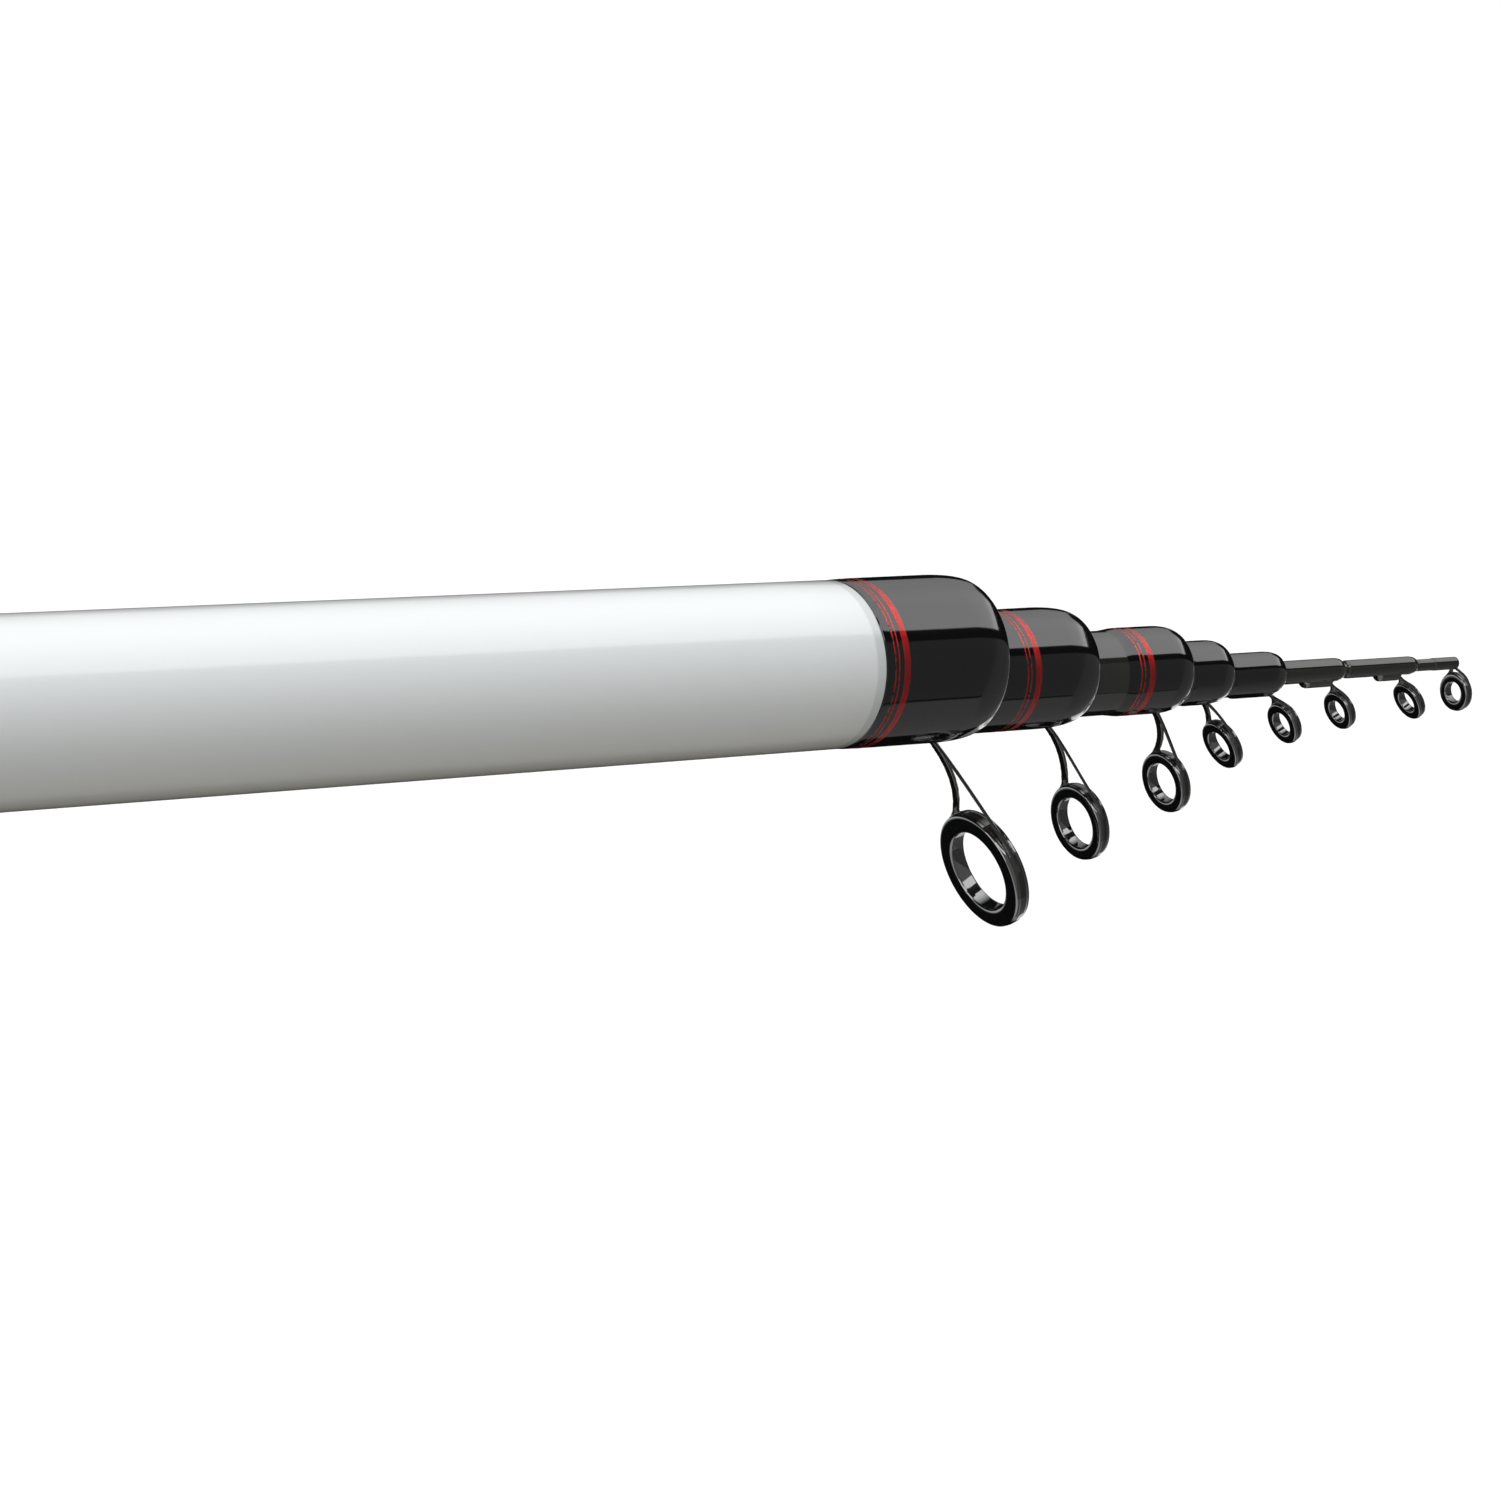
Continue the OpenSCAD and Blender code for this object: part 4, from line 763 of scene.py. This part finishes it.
# the bush and the O-ring keep the CAD's shape
for node, material in (("cap_bush", aluminium), ("cap_oring", rubber)):
    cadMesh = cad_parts[node].data
    cadMesh.materials.clear()
    cadMesh.materials.append(material)
print("seat and cap dressed")

# a sheet of white paper far below; what shines doesn't see it
stage = {"floorX": 0.5, "floorZ": -0.5, "floorSize": 6.0, "floor": "#f4f4f2", "bounce": "#96928a"}


def addFloor():
    bm = bmesh.new()
    bmesh.ops.create_grid(bm, x_segments=1, y_segments=1, size=stage["floorSize"] / 2)
    bmesh.ops.translate(bm, verts=bm.verts, vec=(stage["floorX"], 0, stage["floorZ"]))
    mesh = bpy.data.meshes.new("floor")
    bm.to_mesh(mesh)
    bm.free()
    material = bpy.data.materials.new("paleFloor")
    material.use_nodes = True
    tree = material.node_tree
    tree.nodes.clear()
    path = addNode(tree, "ShaderNodeLightPath")
    seen = addNode(tree, "ShaderNodeMix", {
        "data_type": "RGBA", 6: toLinear(stage["bounce"]), 7: toLinear(stage["floor"])},
        {"Factor": path.outputs["Is Camera Ray"]})
    paper = addNode(tree, "ShaderNodeBsdfDiffuse", links={"Color": seen.outputs[2]})
    gone = addNode(tree, "ShaderNodeBsdfTransparent")
    both = addNode(tree, "ShaderNodeMixShader", links={
        0: path.outputs["Is Glossy Ray"], 1: paper.outputs[0], 2: gone.outputs[0]})
    addNode(tree, "ShaderNodeOutputMaterial", links={"Surface": both.outputs[0]})
    mesh.materials.append(material)
    floor = bpy.data.objects.new("floor", mesh)
    bpy.context.scene.collection.objects.link(floor)


# a light tent whose panels run along the rod. Each level stands by its angle round the rod,
# from level in front (0) over the top (90) to level behind (180): "rear" is for what lies
# towards the butt as the guides mirror it, "around" the same as soft light, "along" is for
# the middle and "beyond" for what lies past the panels' ends, which "ends" gives
dark = 0.004
tent = {
    "rear": [(-180, dark), (-170, dark), (-166, 1.2), (-154, 1.2), (-151, 0.7), (-142, dark),
             (-100, dark), (-88, 0.9), (-66, 1.1), (-36, 0.3), (51.5, 0.3), (52, 2.4), (72, 2.4),
             (72.5, 0.08), (82, 0.08), (82.5, 2.4), (104, 2.2), (124, 0.5), (130, dark),
             (180, dark)],
    "around": [(-180, 0.9), (-152, 0.9), (-151.9, dark), (-98, dark), (-97.9, 0.1), (-33, 0.19),
               (-29.9, 0.12), (51, 0.12), (66.2, dark), (66.5, 1.6), (118, 1.55), (160, 1.5),
               (180, 0.9)],
    "along": [(-180, dark), (-98, dark), (-97.9, 0.14), (-33.6, 0.25), (-33.5, dark), (-30, dark),
              (-29.9, 0.12), (51, 0.12), (51.3, dark), (66.2, dark), (66.5, 1.62), (90, 1.38),
              (118, 1.02), (142, 0.6), (162, 0.36), (171, 0.3), (171.3, dark), (180, dark)],
    "beyond": [(-180, 0.4), (-152, 0.4), (-146, 1.1), (-98, 1.1), (-97.9, dark), (-93, dark),
               (-92.9, 0.6), (-80, 0.6), (-79.9, 0.17), (51, 0.17), (51.3, dark), (180, dark)],
    "ends": [(-180, 0.745), (-98, 0.745), (-97.9, 0.86), (-80, 0.86), (-79.9, 0.705),
             (-30, 0.705), (45, 0.8), (60, 0.83), (122, 0.83), (146, 0.77), (180, 0.745)],
}
# "rear" and "around" hold up to rearTo along the rod, and a bright spot up to spotTo
bounds = {"rearTo": 0.42, "spotTo": -0.93, "spotLevel": 2.4}
glow = {"from": 0.775, "to": 0.83, "gain": 1.7}
fill = {"angle": 50, "strength": 0.85, "spread": 70, "colour": "#f4faff"}


def panelRamp(tree, share, levels):
    ramp = addNode(tree, "ShaderNodeValToRGB", links={"Fac": share})
    stops = ramp.color_ramp.elements
    peak = max(level for _, level in levels)
    for index, (degrees, level) in enumerate(levels):
        spot = (degrees + 180) / 360
        stop = stops[index] if index < 2 else stops.new(spot)
        stop.position = spot
        stop.color = (level / peak, level / peak, level / peak, 1)
    lit = addNode(tree, "ShaderNodeMath", {"operation": "MULTIPLY", 1: peak},
                  {0: ramp.outputs["Color"]})
    return lit.outputs[0]


def addLight():
    world = bpy.data.worlds.new("lightTent")
    bpy.context.scene.world = world
    world.use_nodes = True
    tree = world.node_tree
    tree.nodes.clear()
    path = addNode(tree, "ShaderNodeLightPath")
    place = addNode(tree, "ShaderNodeTexCoord")
    axes = addNode(tree, "ShaderNodeSeparateXYZ", links={0: place.outputs["Generated"]})
    toFront = addNode(tree, "ShaderNodeMath", {"operation": "MULTIPLY", 1: -1.0},
                      {0: axes.outputs["Y"]})
    angle = addNode(tree, "ShaderNodeMath", {"operation": "ARCTAN2"},
                    {0: axes.outputs["Z"], 1: toFront.outputs[0]})
    share = addNode(tree, "ShaderNodeMapRange", {"From Min": -math.pi, "From Max": math.pi},
                    {"Value": angle.outputs[0]}).outputs["Result"]
    past = addNode(tree, "ShaderNodeMath", {"operation": "GREATER_THAN"},
                   {0: axes.outputs["X"], 1: panelRamp(tree, share, tent["ends"])})
    rear = addNode(tree, "ShaderNodeMath", {"operation": "LESS_THAN", 1: bounds["rearTo"]},
                   {0: axes.outputs["X"]})
    spot = addNode(tree, "ShaderNodeMath", {"operation": "LESS_THAN", 1: bounds["spotTo"]},
                   {0: axes.outputs["X"]})
    gain = addNode(tree, "ShaderNodeMapRange", {
        "From Min": glow["from"], "From Max": glow["to"], "To Min": 1.0, "To Max": glow["gain"]},
        {"Value": axes.outputs["X"]})
    nearEnd = addNode(tree, "ShaderNodeMath", {"operation": "MULTIPLY"}, {
        0: panelRamp(tree, share, tent["along"]), 1: gain.outputs["Result"]})
    level = addNode(tree, "ShaderNodeMix", links={
        0: past.outputs[0], 2: nearEnd.outputs[0], 3: panelRamp(tree, share, tent["beyond"])})
    behind = addNode(tree, "ShaderNodeMix", links={
        0: path.outputs["Is Glossy Ray"], 2: panelRamp(tree, share, tent["around"]),
        3: panelRamp(tree, share, tent["rear"])})
    level = addNode(tree, "ShaderNodeMix", links={
        0: rear.outputs[0], 2: level.outputs[0], 3: behind.outputs[0]})
    level = addNode(tree, "ShaderNodeMix", {3: bounds["spotLevel"]}, {
        0: spot.outputs[0], 2: level.outputs[0]})
    panels = addNode(tree, "ShaderNodeBackground", {"Color": (1, 1, 1, 1)},
                     {"Strength": level.outputs[0]})
    backdrop = addNode(tree, "ShaderNodeBackground", {"Color": (1, 1, 1, 1), "Strength": 1.0})
    both = addNode(tree, "ShaderNodeMixShader", links={
        0: path.outputs["Is Camera Ray"], 1: panels.outputs[0], 2: backdrop.outputs[0]})
    addNode(tree, "ShaderNodeOutputWorld", links={"Surface": both.outputs[0]})
    # a soft lamp in front fills the paint and leaves no highlight of its own
    lamp = bpy.data.lights.new("frontFill", "SUN")
    lamp.energy = fill["strength"] * math.pi / 3
    lamp.angle = math.radians(fill["spread"])
    lamp.color = toLinear(fill["colour"])[:3]
    holder = bpy.data.objects.new("frontFill", lamp)
    holder.rotation_euler = (math.radians(90 - fill["angle"]), 0, 0)
    holder.visible_glossy = False
    bpy.context.scene.collection.objects.link(holder)


addFloor()
addLight()
bpy.context.scene.view_settings.view_transform = "Standard"
print("stage set")
